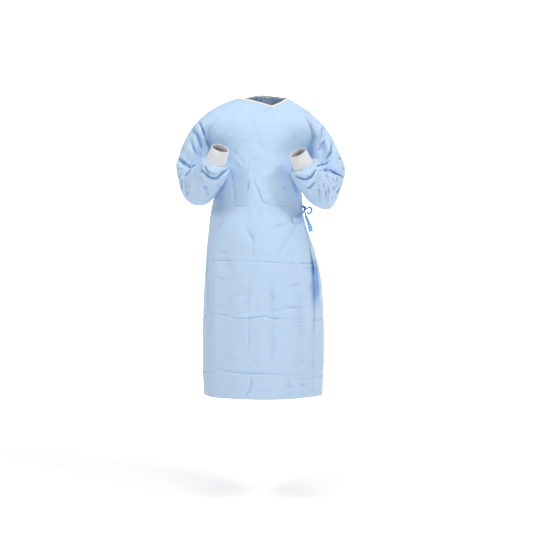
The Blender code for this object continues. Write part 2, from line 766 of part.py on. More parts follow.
def build_cuff(arm, root, way, wide, deep):
    """One knit cuff: ribs raised round a tapered tube, whose root is tucked into the sleeve."""
    count = 2 * CUFF_RIBS
    turn = 2 * math.pi * np.arange(count)[:, None] / count
    spoke = -np.cos(turn) * wide + np.sin(turn) * deep
    ribs = RIB_HEIGHT * (np.arange(count) % 2)[:, None]
    outer, inner = [], []
    for share in (0.0, 0.35, 0.7, 1.0):
        along = -CUFF_TUCK + (CUFF_LENGTH + CUFF_TUCK) * share
        radius = cuff_radius(along)
        middle = root + way * along
        outer.append(middle + spoke * (radius - ribs))
        inner.append(middle + spoke * (radius - RIB_HEIGHT - CUFF_WALL))
    wall("cuff_" + arm.name, np.array(outer), np.array(inner), KNIT_COLOUR, 0.95, round_=True)


def build_binding(front, wrap, under):
    """The binding: one strip on the neckline, from the under panel round the front to the wrap."""
    places, ways = [], []

    def take(net, columns):
        outer, inner = net
        for i in columns:
            places.append((outer[-1, i] + inner[-1, i]) / 2)
            ways.append(unit(outer[-1, i] - outer[-2, i]))

    def cross_shoulder(side, order):
        loop, out, normal = armhole(side), leave(side), seam_frame(side)[0]
        for i in order:
            places.append(loop[i] - normal[i] * WALL / 2)
            ways.append(-out[i])

    over = range(YOKE_ROWS + 1, YOKE_ROWS + SHOULDER_STEPS)
    take(under, range(under[0].shape[1])[::-1])
    cross_shoulder(1.0, reversed(over))
    take(front, range(front[0].shape[1])[::-1])
    cross_shoulder(-1.0, over)
    take(wrap, range(wrap[0].shape[1]))
    places, raw = np.array(places), np.array(ways)
    ways = raw
    for _ in range(4):
        padded = np.concatenate([ways[:1], ways, ways[-1:]])
        ways = unit(padded[:-2] + 2 * padded[1:-1] + padded[2:])
    tilt = np.linalg.norm(np.cross(ways, raw), axis=-1, keepdims=True)
    foot = SEAM_GAP + tilt * (WALL + BINDING_WALL) / 2
    normal = unit(np.cross(np.gradient(places, axis=0), ways))
    rows = [places + ways * (foot + BINDING_WIDTH * share) for share in (0.0, 0.5, 1.0)]
    middle = np.array(rows)
    half = normal * BINDING_WALL / 2
    wall("neck_binding", middle + half, middle - half, BINDING_COLOUR)


def on_body(bearing, z, lift):
    """A point at a bearing and height of the body's front or side, stood off along its normal."""
    bearing, z = np.asarray(bearing, float), np.asarray(z, float)
    level = (z - HEM_Z) / (UNDERARM_Z - HEM_Z)
    way = body_normal(bearing, level, False)
    return body_point(bearing, level, False) + way * np.asarray(lift)[..., None], way


def build_patch():
    """The sewn patch under the front tie's root, as a piece of the front panel moved out."""
    bearing, z = np.meshgrid(
        np.linspace(*PATCH_BEARINGS, PATCH_COLUMNS + 1),
        np.linspace(*PATCH_HEIGHTS, PATCH_ROWS + 1),
    )
    inner, way = on_body(bearing, z, np.full(z.shape, 2 * SEAM_GAP))
    wall("front_tie_patch", inner + way * TIE_WALL, inner, ROBE_COLOUR)


def laid_tie(name, spots):
    """A tie that lies on the body: its flat side follows the cloth, its width runs up and down."""
    at = np.linspace(0.0, len(spots) - 1.0, TIE_STEPS)
    knots = np.arange(len(spots), dtype=float)
    bearing, z, lift = (smooth(knots, column(spots, key), at) for key in Spot._fields)
    share = np.linspace(-0.5, 0.5, 3)[:, None]
    inner, way = on_body(bearing + 0.0 * share, z + share * TIE_WIDTH, lift + 0.0 * share)
    wall(name, inner + way * TIE_WALL, inner, TIE_COLOUR)


def free_tie(name, stations):
    """A tie that hangs free: a strip along its stations, whose flat side turns about its length."""
    knots = np.arange(len(stations), dtype=float)
    at = np.linspace(0.0, len(stations) - 1.0, 2 * TIE_STEPS)
    x, y, z, width, turn = (smooth(knots, column(stations, key), at) for key in Station._fields)
    middle = np.stack([x, y, z], axis=-1)
    along = unit(np.gradient(middle, axis=0))
    ahead = np.array([0.0, -1.0, 0.0]) + 0.0 * along
    ahead = unit(ahead - along * np.sum(ahead * along, axis=-1, keepdims=True))
    sideways = np.cross(along, ahead)
    angle = np.radians(turn)[:, None]
    flat = ahead * np.cos(angle) + sideways * np.sin(angle)
    out = np.cross(along, flat) * TIE_WALL / 2
    net = np.array([middle + flat * width[:, None] * share for share in (-0.5, 0.0, 0.5)])
    wall(name, net + out, net - out, TIE_COLOUR)


def build_knot():
    """The knot that joins the two ties, as a small squat ball."""
    centre, _ = on_body(KNOT.bearing, KNOT.z, KNOT.lift)
    rise = np.linspace(-math.pi / 2, math.pi / 2, KNOT_ROWS + 1)[1:-1, None]
    turn = 2 * math.pi * np.arange(KNOT_COLUMNS) / KNOT_COLUMNS
    level = np.stack(
        [np.cos(rise) * np.cos(turn), np.cos(rise) * np.sin(turn), np.sin(rise) + 0.0 * turn],
        axis=-1,
    ).reshape(-1, 3)
    poles = np.array([[0.0, 0.0, -1.0], [0.0, 0.0, 1.0]])
    points = centre + np.concatenate([level, poles]) * KNOT_SIZE * np.array([0.75, 0.9, 1.1])
    index = np.arange(len(level)).reshape(KNOT_ROWS - 1, KNOT_COLUMNS)
    after = np.roll(index, -1, axis=1)
    low, high = np.full(KNOT_COLUMNS, len(level)), np.full(KNOT_COLUMNS, len(level) + 1)
    faces = [
        np.stack([index[:-1].ravel(), after[:-1].ravel(), after[1:].ravel()], 1),
        np.stack([index[:-1].ravel(), after[1:].ravel(), index[1:].ravel()], 1),
        np.stack([after[0], index[0], low], 1),
        np.stack([index[-1], after[-1], high], 1),
    ]
    mesh_object("tie_knot", points, np.concatenate(faces), TIE_COLOUR, 0.6)


def main():
    """Clears the scene and builds every piece."""
    for obj in list(bpy.data.objects):
        bpy.data.objects.remove(obj, do_unlink=True)
    front, wrap, under = build_front(), build_wrap(), build_under()
    build_binding(front, wrap, under)
    build_patch()
    laid_tie("front_tie", FRONT_TIE)
    laid_tie("wrap_tie", WRAP_TIE)
    build_knot()
    free_tie("tie_loop", TIE_LOOP)
    free_tie("tie_tail", TIE_TAIL)
    for arm in (RIGHT_ARM, LEFT_ARM):
        root, way, wide, deep = build_sleeve(arm)
        build_cuff(arm, root, way, wide, deep)


main()
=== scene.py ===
"""Looks of a surgical gown, posed as on a wearer who holds both forearms up before the chest.

Metres, +Z up, the gown's front towards -Y, the wearer's left towards +X. Every cloth piece is a
thin shell on the form of its solid, computed as whole arrays on a grid, and moved along its normals
by creases that are placed in the views where they show.
"""

import json
import logging
import math
from dataclasses import dataclass
from enum import Enum
from typing import Any, Callable, NamedTuple

import bpy
import numpy as np
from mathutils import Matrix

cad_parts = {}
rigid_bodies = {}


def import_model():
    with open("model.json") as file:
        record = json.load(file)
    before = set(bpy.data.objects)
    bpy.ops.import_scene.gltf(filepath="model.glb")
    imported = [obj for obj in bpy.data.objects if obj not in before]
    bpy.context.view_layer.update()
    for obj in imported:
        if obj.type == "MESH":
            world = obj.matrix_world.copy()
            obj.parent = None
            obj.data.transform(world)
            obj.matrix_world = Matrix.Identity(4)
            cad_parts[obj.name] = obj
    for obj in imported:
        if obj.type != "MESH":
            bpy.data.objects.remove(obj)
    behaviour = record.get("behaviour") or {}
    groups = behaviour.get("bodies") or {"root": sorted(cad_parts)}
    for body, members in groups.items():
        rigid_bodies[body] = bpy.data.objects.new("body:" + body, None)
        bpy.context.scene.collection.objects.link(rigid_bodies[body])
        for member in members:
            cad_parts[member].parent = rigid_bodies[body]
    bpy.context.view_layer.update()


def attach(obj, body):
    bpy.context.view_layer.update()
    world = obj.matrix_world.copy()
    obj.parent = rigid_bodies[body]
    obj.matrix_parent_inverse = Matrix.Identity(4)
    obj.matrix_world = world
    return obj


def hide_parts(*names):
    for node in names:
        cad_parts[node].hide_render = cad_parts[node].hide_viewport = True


for leftover in list(bpy.data.objects):
    bpy.data.objects.remove(leftover, do_unlink=True)
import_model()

LOG = logging.getLogger("gown")
Array = np.ndarray
Colour = tuple[float, float, float, float]

VIEW_UNIT = 0.00381
CAMERA_DISTANCE = 4.5
CAMERA_HEIGHT = -0.5
CAMERA_ACROSS = 0.017
PICTURE_SIZE = 533
NECK_ROW = 98.5
SENSOR = 36.0
FLOOR_Z = -1.549

SHELL = 0.0008
HEM_Z = -1.125
UNDERARM_Z = -0.215
PRESS_LINES = (-0.410, -0.622, -0.833, -1.046)
YOKE_ROWS = 12
SHOULDER_STEPS = 4
RING_POINTS = 2 * YOKE_ROWS + SHOULDER_STEPS
WRAP_LIFT = 0.0060
WRAP_EDGE_LIFT = 0.0036
WRAP_EDGE_EASES = (74.0, 98.0)
WRAP_RISES = (208.0, 245.0)
STAND_OFF_SPREAD = 16.0
# the levels between which the wrap's edge gets painted shade
WEDGE_LEVELS = (0.33, 0.46, 0.52, 0.60)
BUCKLE_SEED_STEP = 40
PATH_STEPS = 60
FOREARM_RINGS = ((0.22, 0.0), (0.44, 0.1), (0.64, 0.5), (0.80, 1.0), (0.92, 1.0))


class View(Enum):
    """The side from which a crease is drawn, as the level direction from the gown to the viewer."""

    FRONT = (0.0, -1.0)
    BACK = (0.0, 1.0)
    LEFT = (1.0, 0.0)
    RIGHT = (-1.0, 0.0)


class Crease(NamedTuple):
    """A crease, drawn on one view as points (across, down) from the neck's middle.

    The points are in view units of 3.81 mm. height and width are in millimetres: below zero it is a
    trough, above zero a ridge. edge runs from 0, soft, to 1, as sharp as a pressed fold.
    """

    name: str
    height: float
    width: float
    edge: float
    line: tuple[tuple[float, float], ...]


class Section(NamedTuple):
    """One level of the body below the underarm: an ellipse's reach to each side, front and back."""

    z: float
    right: float
    left: float
    front: float
    back: float


class Raglan(NamedTuple):
    """One point of the armhole seam: w runs from the underarm (0) to the neck (1)."""

    w: float
    centre: float
    front_half: float
    front_y: float
    front_z: float
    back_half: float
    back_y: float
    back_z: float


class Middle(NamedTuple):
    """The middle of one yoke row, and how round the row is: 1 an ellipse, 2 a parabola."""

    w: float
    front_y: float
    front_z: float
    back_y: float
    back_z: float
    power: float


class Neck(NamedTuple):
    """One point of the front neckline, from the wearer's right (-1) to the left (1)."""

    s: float
    x: float
    y: float
    z: float


class Edge(NamedTuple):
    """Where the panels end at one level, in degrees from the front's middle to the left."""

    level: float
    right_seam: float
    left_seam: float
    wrap_edge: float
    under_edge: float
    stand_off: float


class Fold(NamedTuple):
    """A hanging fold: its bearing, its top and bottom, its half width and height, and its drift."""

    bearing: float
    top: float
    bottom: float
    width: float
    height: float
    drift: float


class Crumple(NamedTuple):
    """A broad fold on a sleeve: its ring, its bearing, its reach along and round, its height."""

    ring: float
    bearing: float
    along: float
    around: float
    height: float


class Station(NamedTuple):
    """One point of a tie that hangs free: its place, its width and the turn of its flat side."""

    x: float
    y: float
    z: float
    width: float
    turn: float


class Spot(NamedTuple):
    """One point of a tie laid on the body: its bearing, its height and how far it stands off."""

    bearing: float
    z: float
    lift: float


class Lamp(NamedTuple):
    """A square soft light: its place, the point it is turned towards, its side and its power."""

    name: str
    place: tuple[float, float, float]
    aim: tuple[float, float, float]
    size: float
    power: float


LAMPS = (
    Lamp("key_right", (-2.2, -2.2, 2.3), (0.0, 0.0, -0.35), 0.7, 50.0),
    Lamp("key_left", (2.3, -2.3, 2.0), (0.0, 0.0, -0.35), 0.7, 57.0),
    Lamp("top", (0.1, -1.7, 2.7), (0.0, 0.0, -0.2), 1.2, 36.0),
    Lamp("front_fill", (0.3, -4.2, 0.4), (0.0, 0.0, -0.5), 2.0, 7.0),
    Lamp("rim_right", (-3.0, 1.4, 0.6), (0.0, 0.0, -0.5), 1.2, 8.0),
    Lamp("rim_left", (3.0, 1.4, 0.6), (0.0, 0.0, -0.5), 1.2, 20.0),
    Lamp("wall_wash", (0.0, 3.0, 1.6), (0.0, 9.0, 0.4), 5.0, 520.0),
)
SECTIONS = (
    Section(-1.125, -0.219, 0.222, -0.168, 0.158),
    Section(-0.950, -0.222, 0.227, -0.163, 0.152),
    Section(-0.800, -0.219, 0.225, -0.157, 0.145),
    Section(-0.650, -0.215, 0.211, -0.149, 0.136),
    Section(-0.560, -0.210, 0.187, -0.142, 0.129),
    Section(-0.480, -0.202, 0.161, -0.136, 0.121),
    Section(-0.430, -0.195, 0.150, -0.132, 0.115),
    Section(-0.385, -0.186, 0.149, -0.132, 0.112),
    Section(-0.300, -0.175, 0.152, -0.134, 0.112),
    Section(-0.215, -0.176, 0.158, -0.132, 0.112),
)
RAGLAN = (
    Raglan(0.00, -0.009, 0.167, 0.000, -0.215, 0.167, 0.000, -0.215),
    Raglan(0.12, -0.008, 0.180, -0.030, -0.190, 0.180, 0.030, -0.190),
    Raglan(0.25, -0.006, 0.190, -0.056, -0.160, 0.189, 0.056, -0.160),
    Raglan(0.40, -0.003, 0.191, -0.076, -0.127, 0.187, 0.076, -0.125),
    Raglan(0.60, 0.001, 0.167, -0.086, -0.088, 0.158, 0.086, -0.083),
    Raglan(0.80, 0.004, 0.132, -0.075, -0.050, 0.119, 0.078, -0.042),
    Raglan(1.00, 0.0075, 0.0915, -0.047, -0.008, 0.077, 0.052, 0.004),
)
MIDDLES = (
    Middle(0.00, -0.132, -0.215, 0.112, -0.215, 1.0),
    Middle(0.12, -0.131, -0.190, 0.113, -0.187, 1.4),
    Middle(0.25, -0.129, -0.163, 0.114, -0.153, 1.7),
    Middle(0.40, -0.125, -0.137, 0.113, -0.118, 2.0),
    Middle(0.60, -0.116, -0.104, 0.107, -0.072, 2.0),
    Middle(0.80, -0.103, -0.073, 0.091, -0.028, 2.0),
    Middle(1.00, -0.087, -0.042, 0.067, 0.012, 2.0),
)
NECKLINE = (
    Neck(-1.00, -0.0840, -0.047, -0.008),
    Neck(-0.50, -0.0480, -0.067, -0.017),
    Neck(0.00, -0.0010, -0.082, -0.030),
    Neck(0.40, 0.0390, -0.089, -0.043),
    Neck(0.70, 0.0680, -0.074, -0.029),
    Neck(1.00, 0.0990, -0.047, -0.008),
)
EDGES = (
    Edge(0.00, 291.0, 88.0, 59.0, 205.0, 0.000),
    Edge(0.30, 291.0, 88.0, 59.0, 204.0, 0.001),
    Edge(0.43, 291.0, 88.0, 61.5, 203.5, 0.011),
    Edge(0.55, 290.5, 88.0, 67.0, 203.0, 0.004),
    Edge(0.65, 289.5, 88.0, 74.0, 202.0, 0.001),
    Edge(0.77, 287.0, 88.5, 78.0, 201.0, 0.000),
    Edge(0.88, 279.0, 89.0, 108.0, 198.0, 0.000),
    Edge(1.00, 270.0, 90.0, 146.0, 196.0, 0.000),
    Edge(1.50, 270.0, 90.0, 163.0, 192.0, 0.000),
    Edge(2.00, 270.0, 90.0, 172.0, 188.0, 0.000),
)
FOLDS = (
    Fold(-50.0, -0.42, -1.2, 8.0, 0.006, -4.0),
    Fold(-36.0, -0.40, -1.2, 7.0, -0.004, -3.0),
    Fold(-14.0, -0.66, -1.2, 7.0, -0.003, 1.0),
    Fold(24.0, -0.42, -1.2, 9.0, 0.004, 4.0),
    Fold(42.0, -0.44, -1.2, 7.0, -0.005, 3.0),
    Fold(78.0, -0.50, -1.2, 9.0, 0.006, 4.0),
    Fold(108.0, -0.42, -1.2, 9.0, -0.010, 2.0),
    Fold(130.0, -0.36, -1.2, 9.0, 0.008, -2.0),
    Fold(152.0, -0.40, -1.2, 10.0, -0.008, 4.0),
    Fold(178.0, -0.30, -1.2, 10.0, 0.007, 3.0),
    Fold(203.0, -0.36, -1.2, 10.0, -0.009, -3.0),
    Fold(226.0, -0.40, -1.2, 9.0, 0.008, 2.0),
    Fold(250.0, -0.46, -1.2, 9.0, -0.008, 3.0),
    Fold(273.0, -0.55, -1.2, 8.0, 0.005, -2.0),
)
CRUMPLES = (
    Crumple(5.0, 98.0, 2.6, 22.0, -0.006),
    Crumple(5.0, 60.0, 2.6, 20.0, 0.004),
    Crumple(7.0, 128.0, 2.5, 22.0, 0.006),
    Crumple(10.5, 142.0, 2.0, 20.0, -0.008),
    Crumple(13.0, 128.0, 1.8, 22.0, 0.007),
    Crumple(15.0, 170.0, 1.6, 30.0, 0.005),
    Crumple(18.5, 150.0, 1.5, 28.0, -0.007),
    Crumple(20.0, 205.0, 1.4, 36.0, 0.006),
    Crumple(8.0, 265.0, 3.0, 26.0, -0.007),
    Crumple(12.0, 250.0, 2.0, 26.0, 0.006),
)

FRONT_CREASES = (
    Crease("neck_trough", -1.6, 9, 0.2, ((9, 8), (5, 11.5), (0, 14.5), (-3, 17))),
    Crease("chest_short", -0.9, 4, 0.5, ((-6.4, 45.5), (-3, 45.3), (0.2, 47))),
    Crease(
        "chest_upright", -1.6, 5, 0.5,
        ((-14.5, 58.7), (-13.7, 67.5), (-13, 80.7), (-13.7, 89.5), (-15.2, 101.2)),
    ),
    Crease(
        "chest_sweep", -1.9, 6, 0.5,
        ((-10.1, 67.5), (-9.3, 76.3), (-7.1, 84.3), (-2.7, 93.9), (0.9, 102.7), (5.3, 104.9),
         (16.3, 107.1), (31, 108.9)),
    ),
    Crease(
        "cuff_drop", -1.6, 7, 0.3, ((-31.3, 67.5), (-29.1, 80.7), (-27.5, 92), (-27.3, 107.5))
    ),
    Crease("cuff_fan_high", -1.2, 6, 0.3, ((-28.4, 52.1), (-22, 60.2), (-16, 67.5))),
    Crease("cuff_fan_low", -1.0, 5, 0.3, ((-23.3, 54.3), (-18, 63), (-16.5, 74), (-17, 86))),
    Crease("chest_side_short", -0.8, 5, 0.4, ((21.4, 86.5), (22.9, 93.1))),
    Crease("chest_roll", 1.0, 10, 0.1, ((1.7, 98.5), (14, 98), (27.3, 98.5))),
    Crease("breast_roll", 1.2, 14, 0.0, ((-4, 60), (2, 74), (6, 88))),
    Crease("press_line_high", -1.5, 3.4, 0.9, ((-31, 107.9), (-23, 107.6), (-14, 107.4))),
    Crease(
        "press_line_waist", -1.5, 2.8, 0.9,
        ((-63, 159.6), (-49, 161.8), (-30, 162.5), (-5, 163.2), (20, 164.5), (41, 165),
         (56, 165.6)),
    ),
    Crease(
        "press_line_middle", -1.9, 3, 0.9,
        ((-65, 213.4), (-54.5, 214.3), (-40.2, 216.1), (-29.5, 219.2), (-13.4, 220.1), (1, 218.3),
         (13, 220.1), (49, 220.1), (58, 221.9)),
    ),
    Crease("middle_short", -1.1, 4, 0.6, ((-30, 215.7), (-13.4, 215.2))),
    Crease("middle_arc", -1.5, 5, 0.6, ((10.7, 212.5), (22, 209.8), (31, 208.9), (43.7, 208.9))),
    Crease(
        "press_line_low", -1.9, 3, 0.9,
        ((-64, 266.4), (-52.7, 268.3), (-33, 273.5), (-13.4, 275.4), (9.8, 275.4), (34, 276.8),
         (52.6, 276.8)),
    ),
    Crease(
        "low_diagonal", -1.8, 5, 0.6,
        ((-13.4, 277.2), (-10.7, 280.8), (-11.6, 288.8), (-15.2, 296), (-17.4, 300.4)),
    ),
    Crease("press_upright", -1.0, 4, 0.8, ((-13, 184), (-13.2, 230), (-13, 274.5))),
    Crease(
        "waist_sweep", -1.4, 8, 0.3, ((-18, 117.2), (-14.3, 131.5), (-9, 142.2), (-8.5, 160.1))
    ),
    Crease("tie_pull_high", -1.0, 8, 0.2, ((39, 118), (22, 125), (2, 131))),
    Crease("tie_pull_low", -1.1, 9, 0.2, ((39, 121), (26, 139), (14, 158))),
    Crease("side_shade", -2.6, 15, 0.1, ((-41, 84), (-42, 96), (-41, 112))),
    Crease("under_arm_turn", -2.6, 9, 0.3, ((29, 68), (32, 82), (35, 94), (39, 104), (42, 110))),
    Crease("skirt_drape_right", 1.6, 20, 0.0, ((-44, 128), (-48, 190), (-50, 262))),
    Crease("skirt_drape_middle", -1.3, 18, 0.0, ((6, 170), (12, 214), (10, 270))),
    Crease("skirt_drape_left", 1.5, 16, 0.0, ((32, 150), (44, 200), (47, 268))),
    Crease("hem_drape", -0.7, 14, 0.1, ((24, 279), (27, 290), (25, 302))),
    Crease("hip_wrinkle_high", -0.9, 5, 0.4, ((-50, 150), (-40, 154), (-30, 153))),
    Crease("hip_wrinkle_low", -0.8, 5, 0.4, ((-51, 176), (-38, 181), (-26, 180))),
    Crease("left_hip_wrinkle", -1.0, 6, 0.4, ((44, 178), (34, 186), (22, 189))),
    Crease("low_wrinkle", -0.8, 5, 0.4, ((18, 286), (30, 288), (44, 286))),
)
BACK_CREASES = (
    Crease("press_line_high", -1.5, 3.4, 0.9, ((44, 106.5), (10, 107.6), (-36, 107.4))),
    Crease("press_line_waist", -1.7, 3.4, 0.9, ((46, 163.4), (8, 162.2), (-50, 164))),
    Crease("press_line_middle", -2.0, 4, 0.9, ((58, 219), (20, 221), (-14, 218.8), (-55, 219.6))),
    Crease("press_line_low", -2.1, 4, 0.9, ((59, 275), (16, 276.6), (-20, 274.4), (-57, 275.6))),
    Crease("press_upright", -1.1, 4, 0.8, ((12, 60), (13, 140), (12.4, 210), (13, 292))),
    Crease("yoke_drape_right", -2.2, 12, 0.1, ((-10, 14), (-22, 40), (-30, 74))),
    Crease("yoke_drape_left", -2.0, 12, 0.1, ((14, 12), (22, 38), (27, 70))),
    Crease("shoulder_pull", -1.5, 8, 0.3, ((-26, 24), (-6, 34), (14, 36))),
    Crease("blade_wrinkle", -1.2, 6, 0.4, ((-34, 56), (-20, 66), (-8, 84))),
    Crease("waist_pull_high", -1.6, 8, 0.3, ((40, 118), (16, 112), (-14, 96))),
    Crease("waist_pull_low", -1.8, 9, 0.2, ((40, 126), (10, 134), (-26, 128), (-46, 112))),
    Crease("seat_drape_left", -2.2, 16, 0.0, ((26, 140), (32, 200), (30, 282))),
    Crease("seat_drape_middle", 2.2, 18, 0.0, ((2, 138), (-2, 200), (-6, 286))),
    Crease("seat_drape_right", -2.0, 15, 0.0, ((-26, 132), (-34, 196), (-36, 280))),
    Crease("seat_wrinkle", -1.0, 5, 0.5, ((-18, 182), (-2, 188), (14, 184))),
    Crease("low_diagonal", -1.4, 5, 0.5, ((18, 240), (8, 252), (6, 268))),
    Crease("hem_wrinkle", -1.2, 6, 0.4, ((-30, 288), (-24, 296), (-26, 304))),
)
LEFT_CREASES = (
    Crease("press_line_waist", -1.6, 3.4, 0.9, ((-34, 165), (0, 163.5), (32, 164))),
    Crease("press_line_middle", -2.0, 4, 0.9, ((-38, 221), (4, 219.4), (34, 219))),
    Crease("press_line_low", -2.1, 4, 0.9, ((-38, 277), (0, 275.6), (36, 276))),
    Crease("tie_pull_back", -1.8, 8, 0.3, ((2, 112), (14, 104), (26, 88))),
    Crease("tie_pull_seat", -2.0, 9, 0.2, ((2, 116), (14, 130), (22, 152))),
    Crease("tie_pull_level", -1.4, 6, 0.4, ((4, 113), (18, 114), (30, 118))),
    Crease("side_drape", -2.0, 14, 0.0, ((2, 150), (8, 214), (6, 286))),
    Crease("side_roll", 1.8, 14, 0.0, ((20, 150), (24, 214), (26, 286))),
)
RIGHT_CREASES = (
    Crease("press_line_waist", -1.6, 3.4, 0.9, ((-34, 161.6), (0, 163), (32, 162.4))),
    Crease("press_line_middle", -2.0, 4, 0.9, ((-36, 214), (2, 217.6), (34, 220))),
    Crease("press_line_low", -2.1, 4, 0.9, ((-38, 268), (0, 273), (36, 275))),
    Crease("side_drape_front", -1.8, 13, 0.1, ((-12, 96), (-10, 150), (-14, 210))),
    Crease("side_drape_back", -2.2, 14, 0.0, ((10, 84), (12, 150), (8, 230))),
    Crease("side_roll", 1.6, 13, 0.0, ((22, 100), (26, 180), (24, 270))),
    Crease("waist_wrinkle", -1.1, 6, 0.4, ((-24, 128), (-6, 134), (12, 130))),
)

RIGHT_SLEEVE_FRONT = (
    Crease("armpit", -6.0, 6, 0.6, ((-63.1, 21.9), (-60.1, 30.1), (-55.7, 40.5), (-51.9, 51.7))),
    Crease("armpit_lip", 2.0, 7, 0.1, ((-66, 24), (-62, 35), (-58.5, 47))),
    Crease("soft_fold", -3.5, 10, 0.1, ((-68.6, 30.5), (-62.7, 42.3), (-59.2, 54.2))),
    Crease("crook_wedge", -8.0, 9, 0.3, ((-84.3, 59.7), (-79, 64.5), (-75.1, 67.4), (-72, 68.1))),
    Crease("crook_line", -5.0, 4.5, 0.7, ((-74.8, 68.1), (-69.9, 68.1), (-64.6, 66.3))),
    Crease("wisp_high", 1.8, 4, 0.5, ((-78, 75.9), (-72.8, 69.9))),
    Crease("wisp_low", -2.2, 4.5, 0.5, ((-80.8, 79.8), (-75.1, 74.9), (-72, 71))),
    Crease("wisp_inner", -1.6, 4, 0.5, ((-75, 82), (-71.5, 73))),
    Crease("outer_upright", -3.6, 7, 0.4, ((-80.3, 79.8), (-81, 87), (-80.2, 93.8))),
    Crease("outer_upright_inner", -1.8, 6, 0.3, ((-76, 82), (-76.4, 92), (-74, 100))),
    Crease(
        "roll_edge", -7.0, 6, 0.5,
        ((-62.4, 69.6), (-57.2, 74.9), (-52.7, 79.3), (-46, 80.5), (-42.2, 77.8), (-37, 73),
         (-32.5, 68.9)),
    ),
    Crease("roll_short", -3.0, 3.6, 0.7, ((-63.6, 71.1), (-58.7, 76.4))),
    Crease("roll_inner", -2.4, 5, 0.4, ((-57.9, 67.4), (-53.4, 75.0))),
    Crease("roll_crown", 2.6, 8, 0.1, ((-60, 64), (-54, 70), (-46, 73), (-38.5, 69.5))),
    Crease("lower_crown", 2.2, 16, 0.0, ((-74, 73), (-70, 85), (-66, 98))),
    Crease("lower_diagonal", -1.8, 6, 0.4, ((-49, 96), (-44, 89), (-41, 84))),
    Crease("lower_diagonal_short", -1.4, 5, 0.4, ((-46, 99), (-41, 92))),
    Crease("upper_drape", -1.8, 12, 0.1, ((-72, 42), (-78, 54))),
    Crease("forearm_dent", -2.0, 12, 0.1, ((-60, 86), (-55, 92), (-53, 100))),
    Crease("crook_fan", -2.8, 5, 0.4, ((-71.4, 67), (-74.8, 72.7), (-77.1, 78.5), (-79.4, 84.2))),
    Crease("crook_fan_ridge", 1.8, 6, 0.1, ((-69, 69), (-71, 74), (-72, 79))),
    Crease("roll_fold", -3.2, 4, 0.5, ((-57.6, 65.8), (-55.3, 71.6), (-51.8, 77.3))),
    Crease("inner_shade", -3.6, 6, 0.3, ((-41.5, 87.6), (-43.8, 94.5), (-46.1, 100.3))),
    Crease("upper_long", -2.6, 9, 0.1, ((-67, 27), (-70, 38), (-68, 50), (-63, 60))),
    Crease("upper_outer", -2.4, 8, 0.2, ((-75, 34), (-80, 46), (-81, 57))),
    Crease("upper_crown", 2.2, 13, 0.0, ((-74, 40), (-74, 52), (-70, 62))),
)
LEFT_SLEEVE_FRONT = (
    Crease("shoulder_break", -1.8, 8, 0.2, ((60.2, 22.5), (61.7, 25.5), (60, 32.3), (59.5, 42.8))),
    Crease("upper_crease", -2.6, 6, 0.4, ((64, 40.5), (60, 46), (55.8, 53.2))),
    Crease("outer_crease", -2.4, 6, 0.4, ((72.2, 51.7), (67, 56.2), (63.2, 62.2))),
    Crease("upper_drape", -2.0, 9, 0.2, ((52, 32), (51, 42), (48, 52))),
    Crease("cuff_side", -3.0, 4.5, 0.6, ((49.5, 52), (47.6, 58.5))),
    Crease("crook_point", -5.0, 5, 0.4, ((54.5, 68), (57, 67.2), (60.8, 66.4))),
    Crease(
        "crook_long", -6.5, 5.5, 0.5,
        ((58.2, 71.6), (61.5, 71.9), (67, 71.5), (73.7, 74.9), (79.6, 77.8), (83.4, 79.8)),
    ),
    Crease("crook_second", -4.0, 4.5, 0.5, ((64.5, 73.0), (69, 76), (73.7, 79.6))),
    Crease("crook_third", -3.4, 4.5, 0.5, ((62.2, 75.8), (67, 79), (71.4, 82))),
    Crease("elbow_patch", -4.5, 8, 0.3, ((73, 84.3), (73.9, 91), (77.4, 95.3))),
    Crease(
        "roll_edge", -6.0, 5.5, 0.5,
        ((31.9, 77.1), (37.9, 80.1), (43, 81.2), (45.6, 80.8), (49.8, 78.6), (53.5, 72.6),
         (55.8, 70.4)),
    ),
    Crease("roll_under", -3.6, 5.5, 0.4, ((43.8, 89.8), (48.3, 89), (54.3, 82.3))),
    Crease("drape_long", -2.2, 7, 0.3, ((60.2, 80.8), (63.2, 93.5), (63.2, 103.5))),
    Crease("drape_outer", -2.6, 7, 0.3, ((69.9, 82.3), (71.4, 89.8), (69.9, 102))),
    Crease("drape_inner", -1.6, 6, 0.3, ((55, 84), (57.5, 94), (57, 104))),
    Crease("drape_crown", 1.8, 8, 0.0, ((66.5, 80), (68, 92), (66.5, 104))),
    Crease("low_edge", -2.4, 6, 0.3, ((42, 99.5), (49.8, 104.7), (56.5, 109.2))),
    Crease("roll_crown", 2.6, 8, 0.1, ((34, 74), (41, 76), (47.5, 74), (51.5, 68.5))),
    Crease("inner_drape", -1.8, 7, 0.2, ((37, 88), (42, 96), (48, 101))),
    Crease(
        "crook_sweep", -3.8, 5, 0.4,
        ((60, 70.6), (68.9, 73.9), (74.6, 78.5), (75.8, 85.3), (73.5, 93.4)),
    ),
    Crease("crook_rise", -3.0, 5, 0.4, ((56.2, 67), (63.1, 65.8), (68.9, 61.2))),
    Crease("elbow_shade", -4.0, 7, 0.3, ((79, 84), (77.5, 92), (72.3, 101.4))),
    Crease("upper_long", -2.6, 8, 0.2, ((66, 30), (70, 42), (68, 54), (62, 62))),
    Crease("upper_outer", -2.2, 8, 0.2, ((72, 40), (77, 52), (78, 62))),
    Crease("upper_crown", 2.2, 12, 0.0, ((64, 40), (66, 52), (62, 60))),
    Crease("drape_fine", -1.8, 5, 0.4, ((65.5, 84), (66.5, 94), (64.5, 105))),
)
